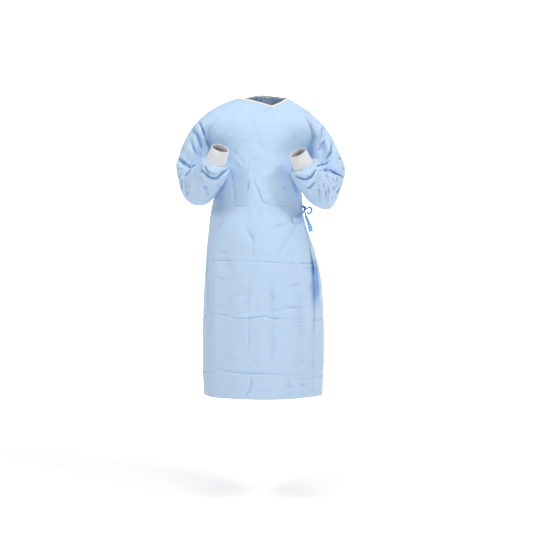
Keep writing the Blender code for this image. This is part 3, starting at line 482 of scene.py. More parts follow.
SLEEVE_BACK = (
    Crease("shoulder_drape", -2.4, 11, 0.1, ((44, 18), (56, 34), (62, 52))),
    Crease("blade_fold", -3.0, 9, 0.2, ((50, 34), (54, 50), (56, 66))),
    Crease("elbow_high", -3.4, 6, 0.4, ((82, 66), (72, 72), (60, 70))),
    Crease("elbow_low", -2.8, 6, 0.4, ((81, 80), (70, 84), (58, 80))),
    Crease("elbow_wisp", -1.8, 5, 0.5, ((78, 90), (70, 92), (64, 98))),
    Crease("inner_drape", -2.2, 9, 0.2, ((54, 74), (58, 88), (64, 100))),
    Crease("outer_drape", -2.0, 9, 0.2, ((76, 40), (78, 56), (74, 64))),
)
SLEEVE_OUTSIDE = (
    Crease("shoulder_drape_front", -2.4, 10, 0.2, ((-10, 16), (-18, 34), (-22, 54))),
    Crease("shoulder_drape_back", -2.2, 10, 0.2, ((8, 16), (14, 34), (16, 54))),
    Crease("crook_wedge", -6.0, 7, 0.4, ((-28, 64), (-18, 70), (-6, 72))),
    Crease("crook_fan_high", -3.4, 5.5, 0.5, ((-24, 60), (-12, 61), (0, 57))),
    Crease("crook_fan_low", -3.6, 5.5, 0.5, ((-24, 70), (-14, 78), (-4, 84))),
    Crease("crook_fan_deep", -3.0, 5, 0.5, ((-26, 73), (-20, 84), (-14, 92))),
    Crease("elbow_cap", -2.2, 6, 0.4, ((4, 80), (10, 88), (8, 98))),
    Crease("elbow_roll", 2.2, 11, 0.0, ((-8, 76), (4, 82), (12, 80))),
    Crease("forearm_drape_high", -2.6, 7, 0.3, ((-36, 72), (-34, 84), (-26, 92))),
    Crease("forearm_drape_low", -2.0, 6, 0.3, ((-30, 90), (-22, 96), (-12, 100))),
    Crease("upper_wisp", -1.6, 5, 0.4, ((-4, 36), (2, 46), (0, 56))),
)


def column(table: tuple, name: str) -> Array:
    """One named column of a table, as an array."""
    return np.array([getattr(row, name) for row in table])


def smooth(knots: Array, values: Array, at: Array) -> Array:
    """A cubic curve through values at knots, whose slope at a knot is that of its two neighbours.

    Args:
        knots: the places of the values, in any order.
        values: one number for each knot.
        at: where the curve is read; beyond the ends it keeps the end's value.

    Returns:
        The curve at each place: v0 (1+2u)(1-u)^2 + v1 u^2(3-2u) + h (s0 u(1-u)^2 - s1 u^2(1-u)).
    """
    order = np.argsort(knots)
    knots, values = np.asarray(knots)[order], np.asarray(values)[order]
    at = np.clip(at, knots[0], knots[-1])
    slopes = np.gradient(values, knots)
    i = np.clip(np.searchsorted(knots, at, side="right") - 1, 0, len(knots) - 2)
    step = knots[i + 1] - knots[i]
    u = (at - knots[i]) / step
    return (
        values[i] * (1 + 2 * u) * (1 - u) ** 2
        + values[i + 1] * u**2 * (3 - 2 * u)
        + step * (slopes[i] * u * (1 - u) ** 2 - slopes[i + 1] * u**2 * (1 - u))
    )


def from_table(table: tuple, key: str, name: str, at: Array) -> Array:
    """A named column of a table, smoothed between its rows."""
    return smooth(column(table, key), column(table, name), at)


def unit(vectors: Array) -> Array:
    """The vectors at length one."""
    return vectors / np.maximum(np.linalg.norm(vectors, axis=-1, keepdims=True), 1e-12)


def blunt(value: Array, power: float) -> Array:
    """The value to a power, with its own sign."""
    return np.sign(value) * np.abs(value) ** power


def ramp(value: Array | float, start: float, end: float) -> Array:
    """0 at start and 1 at end, as 3u^2 - 2u^3 between them."""
    u = np.clip((value - start) / (end - start), 0.0, 1.0)
    return u * u * (3 - 2 * u)


def refine(grid: Array, rows: Array, cols: Array) -> Array:
    """A grid of rings made finer by cubic curves along its rows and round its columns.

    Args:
        grid: rings by points by 3; each ring is closed.
        rows: where rings are wanted, as fractions of a ring number.
        cols: where points are wanted, as fractions of a point number.

    Returns:
        len(rows) by len(cols) by 3 points, by Catmull-Rom curves first round and then along.
    """

    def weave(points: Array, at: Array, beside: list[Array]) -> Array:
        """The curve at each place, from the two points before it and the two after."""
        u = (at - np.floor(at))[:, None, None]
        a, b, c, d = (points[i] for i in beside)
        square, cube = 2 * a - 5 * b + 4 * c - d, 3 * b - a - 3 * c + d
        return 0.5 * (2 * b + (c - a) * u + square * u**2 + cube * u**3)

    count = grid.shape[1]
    low = np.floor(cols).astype(int)
    round_ = weave(np.swapaxes(grid, 0, 1), cols, [(low + k) % count for k in (-1, 0, 1, 2)])
    tall = np.swapaxes(round_, 0, 1)
    top = len(tall) - 1
    low = np.clip(np.floor(rows).astype(int), 0, top)
    return weave(tall, rows, [np.clip(low + k, 0, top) for k in (-1, 0, 1, 2)])


def fold_height(bearing: Array, z: Array) -> Array:
    """How far the hanging folds move the cloth out: a bell across each, growing towards the hem."""
    total = np.zeros(np.broadcast(bearing, z).shape)
    for fold in FOLDS:
        run = np.clip((fold.top - z) / (fold.top - fold.bottom), 0.0, 1.0)
        off = (bearing - fold.bearing - fold.drift * run + 180.0) % 360.0 - 180.0
        spread = fold.width * (0.8 + 0.5 * run)
        total = total + fold.height * ramp(run, 0.0, 0.45) * np.exp(-((off / spread) ** 2))
    return total


def skirt_point(bearing: Array, z: Array) -> Array:
    """A point of the body below the underarm: an ellipse at each height, moved out by the folds."""
    right, left, front, back = (
        from_table(SECTIONS, "z", name, z) for name in ("right", "left", "front", "back")
    )
    angle = np.radians(bearing)
    depth = np.where(np.cos(angle) > 0, -front, back)
    out = 1.0 + fold_height(bearing, z) / 0.5 / (left - right)
    x = (left + right) / 2 + (left - right) / 2 * np.sin(angle) * out
    y = -depth * np.cos(angle) * out
    return np.stack([x, y, np.broadcast_to(z, x.shape)], axis=-1)


def yoke_point(bearing: Array, w: Array, back: bool) -> Array:
    """A point above the underarm: each row spans from seam to seam, and the top is the neckline."""
    t = np.clip((180.0 - bearing) / 90.0 if back else bearing / 90.0, -1.0, 1.0)
    s = np.sin(t * math.pi / 2)
    s = s + (t - s) * ramp(w, 0.0, 0.6)
    c = np.sqrt(np.clip(1.0 - s * s, 0.0, 1.0))
    face = "back_" if back else "front_"
    x = from_table(RAGLAN, "w", "centre", w) + from_table(RAGLAN, "w", face + "half", w) * s
    power = from_table(MIDDLES, "w", "power", w)
    end_y, end_z = (from_table(RAGLAN, "w", face + axis, w) for axis in "yz")
    middle_y, middle_z = (from_table(MIDDLES, "w", face + axis, w) for axis in "yz")
    y = end_y + (middle_y - end_y) * c**power
    z = end_z + (middle_z - end_z) * c**2
    plain = np.stack([x, y, z], axis=-1)
    if back:
        return plain
    top, middle = RAGLAN[-1], MIDDLES[-1]
    plain_neck = np.stack(
        [
            top.centre + top.front_half * s,
            top.front_y + (middle.front_y - top.front_y) * c**middle.power,
            top.front_z + (middle.front_z - top.front_z) * c**2,
        ],
        axis=-1,
    )
    neck = np.stack(
        [np.interp(s, column(NECKLINE, "s"), column(NECKLINE, axis)) for axis in "xyz"], axis=-1
    )
    return plain + (neck - plain_neck) * (w**2.2)[..., None]


def body_point(bearing: Array, level: Array, back: bool) -> Array:
    """A point of the body: level runs from the hem (0) over the underarm (1) to the neck (2)."""
    bearing, level = np.broadcast_arrays(bearing, level)
    z = HEM_Z + (UNDERARM_Z - HEM_Z) * np.clip(level, 0.0, 1.0)
    below = skirt_point(bearing, z)
    above = yoke_point(bearing, np.clip(level - 1.0, 0.0, 1.0), back)
    return np.where((level <= 1.0)[..., None], below, above)


def body_normal(bearing: Array, level: Array, back: bool) -> Array:
    """The outward direction of the body, from four points close by."""
    step, rise = 0.6, 0.01
    after, before = (body_point(bearing + way * step, level, back) for way in (1, -1))
    above = body_point(bearing, np.minimum(level + rise, 2.0), back)
    below = body_point(bearing, np.maximum(level - rise, 0.0), back)
    return unit(np.cross(after - before, above - below))


def raglan_point(side: float, w: Array, back: bool) -> Array:
    """A point of the armhole seam on one side, front or back."""
    face = "back_" if back else "front_"
    x = from_table(RAGLAN, "w", "centre", w) + side * from_table(RAGLAN, "w", face + "half", w)
    y, z = (from_table(RAGLAN, "w", face + axis, w) for axis in "yz")
    return np.stack([x, y, z], axis=-1)


def armhole(side: float, cols: Array) -> Array:
    """The armhole's loop: underarm, up the front seam, over the shoulder, down the back seam."""
    front = raglan_point(side, np.clip(cols / YOKE_ROWS, 0.0, 1.0), False)
    back = raglan_point(side, np.clip((RING_POINTS - cols) / YOKE_ROWS, 0.0, 1.0), True)
    over = np.clip((cols - YOKE_ROWS) / SHOULDER_STEPS, 0.0, 1.0)[:, None]
    bulge = np.sin(math.pi * over) * np.array([side * 0.004, 0.0, 0.003])
    return front * (1 - over) + back * over + bulge


def crease_height(
    points: Array,
    normals: Array,
    view: View,
    creases: tuple[Crease, ...],
    narrow: float = 1.0,
    least: float = 0.05,
) -> Array:
    """How far the creases of one view move the cloth, in metres.

    Each crease is the distance d to its line, read in the view: e^-(d/w)^2 where it is soft,
    e^-|d|/w where it is pressed, with a low roll beside it. It narrows and fades towards its ends,
    and counts only where the cloth faces the viewer.

    Args:
        points: the cloth's points.
        normals: their outward directions.
        view: the side from which the creases are drawn.
        creases: the creases.
        narrow: the share of their stated widths that the creases take.
        least: how squarely the cloth must face the viewer for a crease to begin.

    Returns:
        The height at each point.
    """
    toward = np.array([*view.value, 0.0])
    facing = ramp(normals @ toward, least, least + 0.35)
    if view is View.FRONT:
        scale = CAMERA_DISTANCE / (CAMERA_DISTANCE + points[..., 1])
        across = CAMERA_ACROSS + (points[..., 0] - CAMERA_ACROSS) * scale
        down = -(CAMERA_HEIGHT + (points[..., 2] - CAMERA_HEIGHT) * scale)
    else:
        across = points[..., 0] if view is View.BACK else points[..., 1]
        down = -points[..., 2]
    place = np.stack([across, down], axis=-1) / VIEW_UNIT
    total = np.zeros(points.shape[:-1])
    for crease in creases:
        corners = np.array(crease.line, float)
        index = np.arange(len(corners), dtype=float)
        at = np.linspace(0.0, index[-1], 3 * len(corners) - 2)
        line = np.stack([smooth(index, corners[:, i], at) for i in (0, 1)], axis=-1)
        start, run = line[:-1], np.diff(line, axis=0)
        length = np.linalg.norm(run, axis=1)
        gone = np.concatenate([[0.0], np.cumsum(length)])
        width = max(narrow * crease.width, 2.3) / 1000.0 / VIEW_UNIT
        reach = 6.0 * width
        low, high = line.min(axis=0) - reach, line.max(axis=0) + reach
        near = ((place > low) & (place < high)).all(axis=-1) & (facing > 0)
        if not near.any():
            continue
        spot = place[near]
        best = np.full(len(spot), 1e9)
        signed, share = np.zeros(len(spot)), np.zeros(len(spot))
        for i in range(len(run)):
            away = spot - start[i]
            t = np.clip(away @ run[i] / length[i] ** 2, 0.0, 1.0)
            off = away - t[:, None] * run[i]
            d = np.linalg.norm(off, axis=1)
            closer = d < best
            best = np.where(closer, d, best)
            turn = run[i][0] * away[:, 1] - run[i][1] * away[:, 0]
            signed = np.where(closer, np.sign(turn) * d, signed)
            share = np.where(closer, (gone[i] + t * length[i]) / gone[-1], share)
        fade = np.sin(math.pi * np.clip(share, 0.0, 1.0)) ** 0.6
        uneven = 0.78 + 0.22 * np.sin(11.0 * share + 2.0 * len(crease.name))
        wide = width * (0.6 + 0.4 * fade) * (1.0 + 0.6 * (1.0 - uneven))
        soft, pressed = np.exp(-((best / wide) ** 2)), np.exp(-best / wide)
        lip = 0.45 * np.exp(-(((signed - 2.1 * wide) / (1.3 * wide)) ** 2))
        shape = (1 - crease.edge) * soft + crease.edge * pressed - lip
        total[near] += crease.height / 1000.0 * shape * uneven * fade
    return total * facing


def about_line(away: Array, angle: float, bend: float, share: float) -> tuple[Array, Array]:
    """Distances across and along a line at an angle, which bends by a share of the full bend."""
    along = away[..., 0] * math.cos(angle) + away[..., 1] * math.sin(angle)
    across = away[..., 1] * math.cos(angle) - away[..., 0] * math.sin(angle)
    return across + bend * along**2 * share, along


def rumple(flat: Array, seed: int, count: int, height: float) -> Array:
    """Many short shallow creases, strewn over the cloth's flat cut by a seeded draw.

    Args:
        flat: the cloth's flat coordinates, in metres.
        seed: the draw's seed.
        count: how many creases.
        height: the usual height, in metres.

    Returns:
        The sum of the creases: for each, h e^-(|across|/w) e^-(along/l)^2 about its middle.
    """
    draw = np.random.default_rng(seed)
    low, high = flat.reshape(-1, 2).min(axis=0), flat.reshape(-1, 2).max(axis=0)
    total = np.zeros(flat.shape[:-1])
    for _ in range(count):
        middle = low + (high - low) * draw.random(2)
        angle = draw.random() * math.pi
        length, width = 0.012 + 0.035 * draw.random(), 0.0022 + 0.004 * draw.random()
        deep = height * (0.35 + draw.random()) * (-1.0 if draw.random() < 0.6 else 0.7)
        across, along = about_line(flat - middle, angle, 8.0, draw.random() - 0.5)
        total += deep * np.exp(-np.abs(across) / width - (along / length) ** 2)
    return total


def cavity(height: Array, round_: bool, passes: int = 30) -> Array:
    """How far a height lies above its average over a centimetre or two: below 0 in a valley."""
    mean = height
    for _ in range(passes):
        tall = np.concatenate([mean[:1], mean, mean[-1:]])
        mean = mean / 2 + (tall[:-2] + tall[2:]) / 4
        before, after = (mean[:, -1:], mean[:, :1]) if round_ else (mean[:, :1], mean[:, -1:])
        wide = np.concatenate([before, mean, after], axis=1)
        mean = mean / 2 + (wide[:, :-2] + wide[:, 2:]) / 4
    return height - mean


def buckle(flat: Array, seed: int, count: int, height: float) -> Array:
    """Broad shallow waves where limp cloth buckles: each h e^-(across/w)^2 e^-(along/l)^2.

    Args:
        flat: the cloth's flat coordinates, in metres.
        seed: the draw's seed.
        count: how many waves.
        height: the usual height, in metres.

    Returns:
        The sum of the waves, most of which run up and down the cloth.
    """
    draw = np.random.default_rng(seed)
    low, high = flat.reshape(-1, 2).min(axis=0), flat.reshape(-1, 2).max(axis=0)
    total = np.zeros(flat.shape[:-1])
    for _ in range(count):
        middle = low + (high - low) * draw.random(2)
        angle = math.pi / 2 + (draw.random() - 0.5) * (1.0 if draw.random() < 0.7 else 3.0)
        length, width = 0.05 + 0.09 * draw.random(), 0.010 + 0.014 * draw.random()
        across, along = about_line(flat - middle, angle, 3.0, draw.random() - 0.5)
        deep = height * (draw.random() - 0.5) * 2.0
        total += deep * np.exp(-((across / width) ** 2) - (along / length) ** 2)
    return total


def grid_normals(net: Array, round_: bool) -> Array:
    """The directions across the grid's rows and columns, as the cross product of its two slopes."""
    if round_:
        around = np.roll(net, -1, axis=1) - np.roll(net, 1, axis=1)
    else:
        around = np.gradient(net, axis=1)
    return unit(np.cross(around, np.gradient(net, axis=0)))


def wrapped(grid: Array) -> Array:
    """The grid with its first column once more at its end."""
    return np.concatenate([grid, grid[:, :1]], axis=1)


def cells(index: Array) -> Array:
    """The four corners of each cell of a grid of numbers, in their order round the cell."""
    corners = (index[:-1, :-1], index[:-1, 1:], index[1:, 1:], index[1:, :-1])
    return np.stack([corner.ravel() for corner in corners], axis=1)


def flat_coordinates(net: Array, round_: bool) -> Array:
    """Flat coordinates in metres: the mean run across the rows, and that down the columns."""
    if round_:
        net = wrapped(net)
    across = np.linalg.norm(np.diff(net, axis=1), axis=-1).mean(axis=0)
    along = np.linalg.norm(np.diff(net, axis=0), axis=-1).mean(axis=1)
    u = np.concatenate([[0.0], np.cumsum(across)])
    v = np.concatenate([[0.0], np.cumsum(along)])
    return np.stack(np.meshgrid(u, v), axis=-1)


class Shell(NamedTuple):
    """A cloth piece ready for its mesh: the outer net, its outward normals and flat coordinates.

    crease is how far narrow creases alone move the cloth, which the materials paint as shade and
    highlight.
    """

    net: Array
    normals: Array
    flat: Array
    crease: Array
    round_: bool


def shell_object(name: str, shell: Shell, thickness: float) -> bpy.types.Object:
    """A closed thin shell from a net: outer and inner skins, with rims along the open edges.

    Args:
        name: the piece's name.
        shell: the outer net, its normals, flat coordinates and crease heights.
        thickness: the shell's thickness, in metres.

    Returns:
        The object, with the UV map "cloth" in metres and the point attribute "crease".
    """
    rows, cols = shell.net.shape[:2]
    index = np.arange(rows * cols).reshape(rows, cols)
    if shell.round_:
        index = wrapped(index)
    place = np.arange(index.size).reshape(index.shape)
    skin, corner = cells(index), cells(place)
    edges = [(index[0], place[0]), (index[-1, ::-1], place[-1, ::-1])]
    if not shell.round_:
        edges += [(index[::-1, 0], place[::-1, 0]), (index[:, -1], place[:, -1])]
    under = rows * cols
    faces, uv_place = [skin, skin[:, ::-1] + under], [corner, corner[:, ::-1]]
    for edge, spot in edges:
        p, q = edge[:-1], edge[1:]
        faces.append(np.stack([q, p, p + under, q + under], axis=1))
        uv_place.append(np.stack([spot[1:], spot[:-1], spot[:-1], spot[1:]], axis=1))
    faces, uv_place = np.concatenate(faces), np.concatenate(uv_place)
    inner = shell.net - shell.normals * thickness
    points = np.concatenate([shell.net.reshape(-1, 3), inner.reshape(-1, 3)])
    first = points[faces[:, :3]][: len(skin)]
    outward = np.cross(first[:, 1] - first[:, 0], first[:, 2] - first[:, 0])
    if np.sum(outward * shell.normals.reshape(-1, 3)[skin[:, 0]]) < 0:
        faces, uv_place = faces[:, ::-1], uv_place[:, ::-1]
    obj = plain_mesh(name, points, faces)
    uv = obj.data.uv_layers.new(name="cloth")
    uv.data.foreach_set("uv", shell.flat.reshape(-1, 2)[uv_place].astype(np.float32).ravel())
    heights = np.tile(shell.crease.ravel(), 2).astype(np.float32)
    obj.data.attributes.new("crease", "FLOAT", "POINT").data.foreach_set("value", heights)
    wide, long_ = np.ptp(shell.flat[..., 0], axis=1).max(), np.ptp(shell.flat[..., 1], axis=0).max()
    LOG.info("%s: up to %.3f by %.3f m along the cloth", name, wide, long_)
    return obj


def plain_mesh(name: str, points: Array, faces: Array | list) -> bpy.types.Object:
    """A smooth-shaded object from points and faces."""
    mesh = bpy.data.meshes.new(name)
    mesh.from_pydata(points, [], faces)
    mesh.shade_smooth()
    obj = bpy.data.objects.new(name, mesh)
    bpy.context.scene.collection.objects.link(obj)
    return obj


def turn_outwards(mesh: bpy.types.Mesh) -> None:
    """Turns every face of a closed mesh outwards, by the sign of its volume."""
    mesh.calc_loop_triangles()
    points = np.zeros(len(mesh.vertices) * 3)
    mesh.vertices.foreach_get("co", points)
    faces = np.zeros(len(mesh.loop_triangles) * 3, np.int32)
    mesh.loop_triangles.foreach_get("vertices", faces)
    corner = points.reshape(-1, 3)[faces.reshape(-1, 3)]
    if np.einsum("ij,ij->i", corner[:, 0], np.cross(corner[:, 1], corner[:, 2])).sum() < 0:
        mesh.flip_normals()


def capped_tube(name: str, net: Array, ends: Array, flat: Array) -> bpy.types.Object:
    """A closed tube through rings, with a fan of triangles at each end.

    Args:
        name: the piece's name.
        net: rings by points by 3; each ring is closed.
        ends: the middle points of the two fans.
        flat: the flat coordinates of the net's points in order, and then those of the ends.

    Returns:
        The object, with its faces outwards and the UV map "cloth" in metres.
    """
    points = np.concatenate([net.reshape(-1, 3), ends])
    first, last = len(points) - 2, len(points) - 1
    loop = wrapped(np.arange(first).reshape(net.shape[:2]))
    faces = cells(loop).tolist()
    faces += [[int(b), int(a), first] for a, b in zip(loop[0], loop[0, 1:])]
    faces += [[int(a), int(b), last] for a, b in zip(loop[-1], loop[-1, 1:])]
    obj = plain_mesh(name, points, faces)
    turn_outwards(obj.data)
    corners = np.zeros(len(obj.data.loops), np.int32)
    obj.data.loops.foreach_get("vertex_index", corners)
    uv = obj.data.uv_layers.new(name="cloth")
    uv.data.foreach_set("uv", flat[corners].astype(np.float32).ravel())
    return obj


class Socket:
    """A node's output. Arithmetic on it adds Math nodes to its material."""

    def __init__(self, graph: "Graph", link: bpy.types.NodeSocket) -> None:
        """Keeps the output and the graph that it belongs to."""
        self.graph, self.link = graph, link

    def _math(self, operation: str, *values: Any) -> "Socket":
        """A Math node on values or outputs."""
        return self.graph.node("ShaderNodeMath", {"operation": operation}, dict(enumerate(values)))

    def __add__(self, other: Any) -> "Socket":
        """self + other."""
        return self._math("ADD", self, other)

    __radd__ = __add__

    def __sub__(self, other: Any) -> "Socket":
        """self - other."""
        return self._math("SUBTRACT", self, other)

    def __rsub__(self, other: Any) -> "Socket":
        """other - self."""
        return self._math("SUBTRACT", other, self)

    def __mul__(self, other: Any) -> "Socket":
        """self times other."""
        return self._math("MULTIPLY", self, other)

    __rmul__ = __mul__

    def sine(self) -> "Socket":
        """The sine of self."""
        return self._math("SINE", self)

    def __abs__(self) -> "Socket":
        """self without its sign."""
        return self._math("ABSOLUTE", self)

    def clamped(self) -> "Socket":
        """self held between 0 and 1."""
        return self._math("MINIMUM", self._math("MAXIMUM", self, 0.0), 1.0)


class Graph:
    """A material's node tree, built by calls that return outputs."""

    def __init__(self, name: str) -> None:
        """Starts a material with its Principled shader."""
        self.material = bpy.data.materials.new(name)
        self.material.use_nodes = True
        self.tree = self.material.node_tree
        self.shader = self.tree.nodes["Principled BSDF"]

    def put(self, socket: bpy.types.NodeSocket, value: Any) -> None:
        """Links an output to a socket, or sets the socket's own value."""
        if isinstance(value, Socket):
            self.tree.links.new(value.link, socket)
        else:
            socket.default_value = value

    def node(
        self, kind: str, settings: dict | None = None, inputs: dict | None = None, output: Any = 0
    ) -> Socket:
        """Any node.

        Args:
            kind: the node's type.
            settings: its properties, set first; "stops" are a ramp's (place, colour) pairs.
            inputs: values or outputs for its sockets, by name or number.
            output: the name or number of the output that is returned.

        Returns:
            That output.
        """
        made = self.tree.nodes.new(kind)
        for key, value in (settings or {}).items():
            if key == "stops":
                while len(made.color_ramp.elements) < len(value):
                    made.color_ramp.elements.new(0.5)
                for element, (place, colour) in zip(made.color_ramp.elements, value):
                    element.position, element.color = place, colour
            else:
                setattr(made, key, value)
        for key, value in (inputs or {}).items():
            self.put(made.inputs[key], value)
        return Socket(self, made.outputs[output])

    def mix(self, factor: Any, low: Any, high: Any) -> Socket:
        """A colour between two colours."""
        made = self.tree.nodes.new("ShaderNodeMix")
        made.data_type = "RGBA"
        self.put(made.inputs["Factor"], factor)
        for name, value in (("A", low), ("B", high)):
            spot = next(s for s in made.inputs if s.name == name and s.type == "RGBA")
            self.put(spot, value)
        return Socket(self, next(s for s in made.outputs if s.type == "RGBA"))

    def cloth_place(self) -> Socket:
        """The place on the cloth, in metres along it."""
        return self.node("ShaderNodeUVMap", {"uv_map": "cloth"}, {}, "UV")

    def cloth_crease(self) -> Socket:
        """How far narrow creases move the cloth at the place, in metres."""
        return self.node("ShaderNodeAttribute", {"attribute_name": "crease"}, {}, "Fac")

    def split(self, place: Socket) -> list[Socket]:
        """The place's three coordinates."""
        parts = self.tree.nodes.new("ShaderNodeSeparateXYZ")
        self.put(parts.inputs[0], place)
        return [Socket(self, output) for output in parts.outputs]

    def noise(self, where: Socket, scale: float, detail: float = 2.0, rough: float = 0.5) -> Socket:
        """A Noise texture's value."""
        return self.node(
            "ShaderNodeTexNoise",
            {},
            {"Vector": where, "Scale": scale, "Detail": detail, "Roughness": rough},
            "Fac",
        )

    def stretched(self, where: Socket, scale: tuple[float, float, float]) -> Socket:
        """The place, scaled along each axis."""
        return self.node("ShaderNodeMapping", {}, {"Vector": where, "Scale": scale}, "Vector")

    def finish(
        self, colour: Socket, roughness: Any, height: Socket, depth: float, **constants: float
    ) -> bpy.types.Material:
        """Links colour, roughness and a bump of height times depth in metres, and sets the rest."""
        self.put(self.shader.inputs["Base Color"], colour)
        self.put(self.shader.inputs["Roughness"], roughness)
        bump = self.node(
            "ShaderNodeBump", {}, {"Strength": 1.0, "Distance": depth, "Height": height}
        )
        self.put(self.shader.inputs["Normal"], bump)
        for key, value in constants.items():
            self.shader.inputs[key.replace("_", " ")].default_value = value
        return self.material


@dataclass(frozen=True)
class Nonwoven:
    """Spunbond cloth: rows of fine bond points, cloudy fibres, painted crease shade and ridge
    highlight.
    """

    name: str
    light: Colour
    deep: Colour
    # fold is the colour of the painted shade in crease troughs
    fold: Colour
    bond_pitch: float = 0.0014
    cloud_size: float = 0.030
    roughness: float = 0.62

    def material(self) -> bpy.types.Material:
        """The node tree: fibre clouds tint the colour, creases paint shade and highlight into it,
        bond points make the bump.
        """
        g = Graph(self.name)
        place, crease = g.cloth_place(), g.cloth_crease()
        clouds = g.noise(place, 1.0 / self.cloud_size, 4.0, 0.62)
        fibres = g.noise(g.stretched(place, (420.0, 900.0, 1.0)), 1.0, 3.0, 0.6)
        bonds = g.node(
            "ShaderNodeTexVoronoi",
            {"feature": "F1"},
            {"Vector": place, "Scale": 1.0 / self.bond_pitch, "Randomness": 0.15},
            "Distance",
        )
        dips = (1.0 - bonds * 2.2).clamped()
        # painted shade: the colour darkens towards fold in crease troughs
        painted_crease_shade = ((crease * -420.0 - 0.10) * (0.55 + clouds * 0.9)).clamped()
        # painted highlight: the colour turns paler on crease ridges
        painted_ridge_highlight = (crease * 500.0).clamped()
        shade = (0.42 + clouds * 0.36 + fibres * 0.12 + painted_ridge_highlight * 0.35 - dips * 0.06).clamped()
        colour = g.mix(painted_crease_shade * 0.75, g.mix(shade, self.deep, self.light), self.fold)
        rough = self.roughness + clouds * 0.10 - dips * 0.08
        height = fibres * 0.22 - dips * 0.45 + g.noise(place, 120.0, 3.0, 0.55) * 2.4
        return g.finish(
            colour,
            rough,
            height,
            0.0005,
            Sheen_Weight=0.12,
            Sheen_Roughness=0.45,
            Specular_IOR_Level=0.32,
        )


@dataclass(frozen=True)
class Knit:
    """White rib knit: small V stitches along each rib, soft and matt."""

    name: str
    light: Colour
    deep: Colour
    wale: float = 0.0016
    course: float = 0.0013

    def material(self) -> bpy.types.Material:
        """The node tree: V stitches as |sin u| and sin v slanted by u, with a little fuzz and
        painted shade in the rib valleys.
        """
        g = Graph(self.name)
        place, valley = g.cloth_place(), g.cloth_crease()
        u, v, _ = g.split(place)
        turn = 2 * math.pi
        slant = abs((u * (turn / self.wale)).sine())
        row = (v * (turn / self.course) + slant * 2.2).sine()
        fuzz = g.noise(place, 2600.0, 2.0, 0.6)
        stitch = row * 0.5 + 0.5
        # painted shade: the colour darkens in the valleys between the ribs
        shade = (0.65 + stitch * 0.25 + fuzz * 0.2 + valley * 620.0).clamped()
        return g.finish(
            g.mix(shade, self.deep, self.light),
            0.9 + fuzz * 0.08,
            stitch * 0.7 + slant * 0.4 + fuzz * 0.4,
            0.00035,
            Sheen_Weight=0.35,
            Sheen_Roughness=0.6,
            Specular_IOR_Level=0.2,
        )


@dataclass(frozen=True)
class Tape:
    """Woven tape: a fine plain weave, for the binding and the ties."""

    name: str
    light: Colour
    deep: Colour
    thread: float = 0.0006

    def material(self) -> bpy.types.Material:
        """The node tree: crossed threads as the product of two sines, over soft clouds."""
        g = Graph(self.name)
        place, crease = g.cloth_place(), g.cloth_crease()
        turn = 2 * math.pi / self.thread
        warp, weft = ((run * turn).sine() for run in g.split(place)[:2])
        clouds = g.noise(place, 90.0, 3.0, 0.6)
        weave = warp * weft
        # painted highlight: the colour turns paler where crease is above zero, on the ties' raised
        # edges
        shade = (0.42 + clouds * 0.4 + weave * 0.08 + crease * 300.0).clamped()
        return g.finish(
            g.mix(shade, self.deep, self.light),
            0.72 + clouds * 0.12,
            weave * 0.35 + clouds * 0.8,
            0.0003,
            Sheen_Weight=0.15,
            Sheen_Roughness=0.5,
            Specular_IOR_Level=0.3,
        )


def edge_fade(flat: Array, sides: tuple[bool, bool, bool, bool], reach: float) -> Array:
    """0 on the named edges of a panel and 1 beyond a reach from them.

    Args:
        flat: the panel's flat coordinates.
        sides: whether the bottom, top, first and last columns are sewn.
        reach: over how far the change runs, in metres.

    Returns:
        The product of the four ramps.
    """
    u, v = flat[..., 0], flat[..., 1]
    gaps = (v - v.min(), v.max() - v, u - u.min(), u.max() - u)
    total = np.ones(u.shape)
    for gap, sewn in zip(gaps, sides):
        if sewn:
            total = total * ramp(gap, 0.0, reach)
    return total


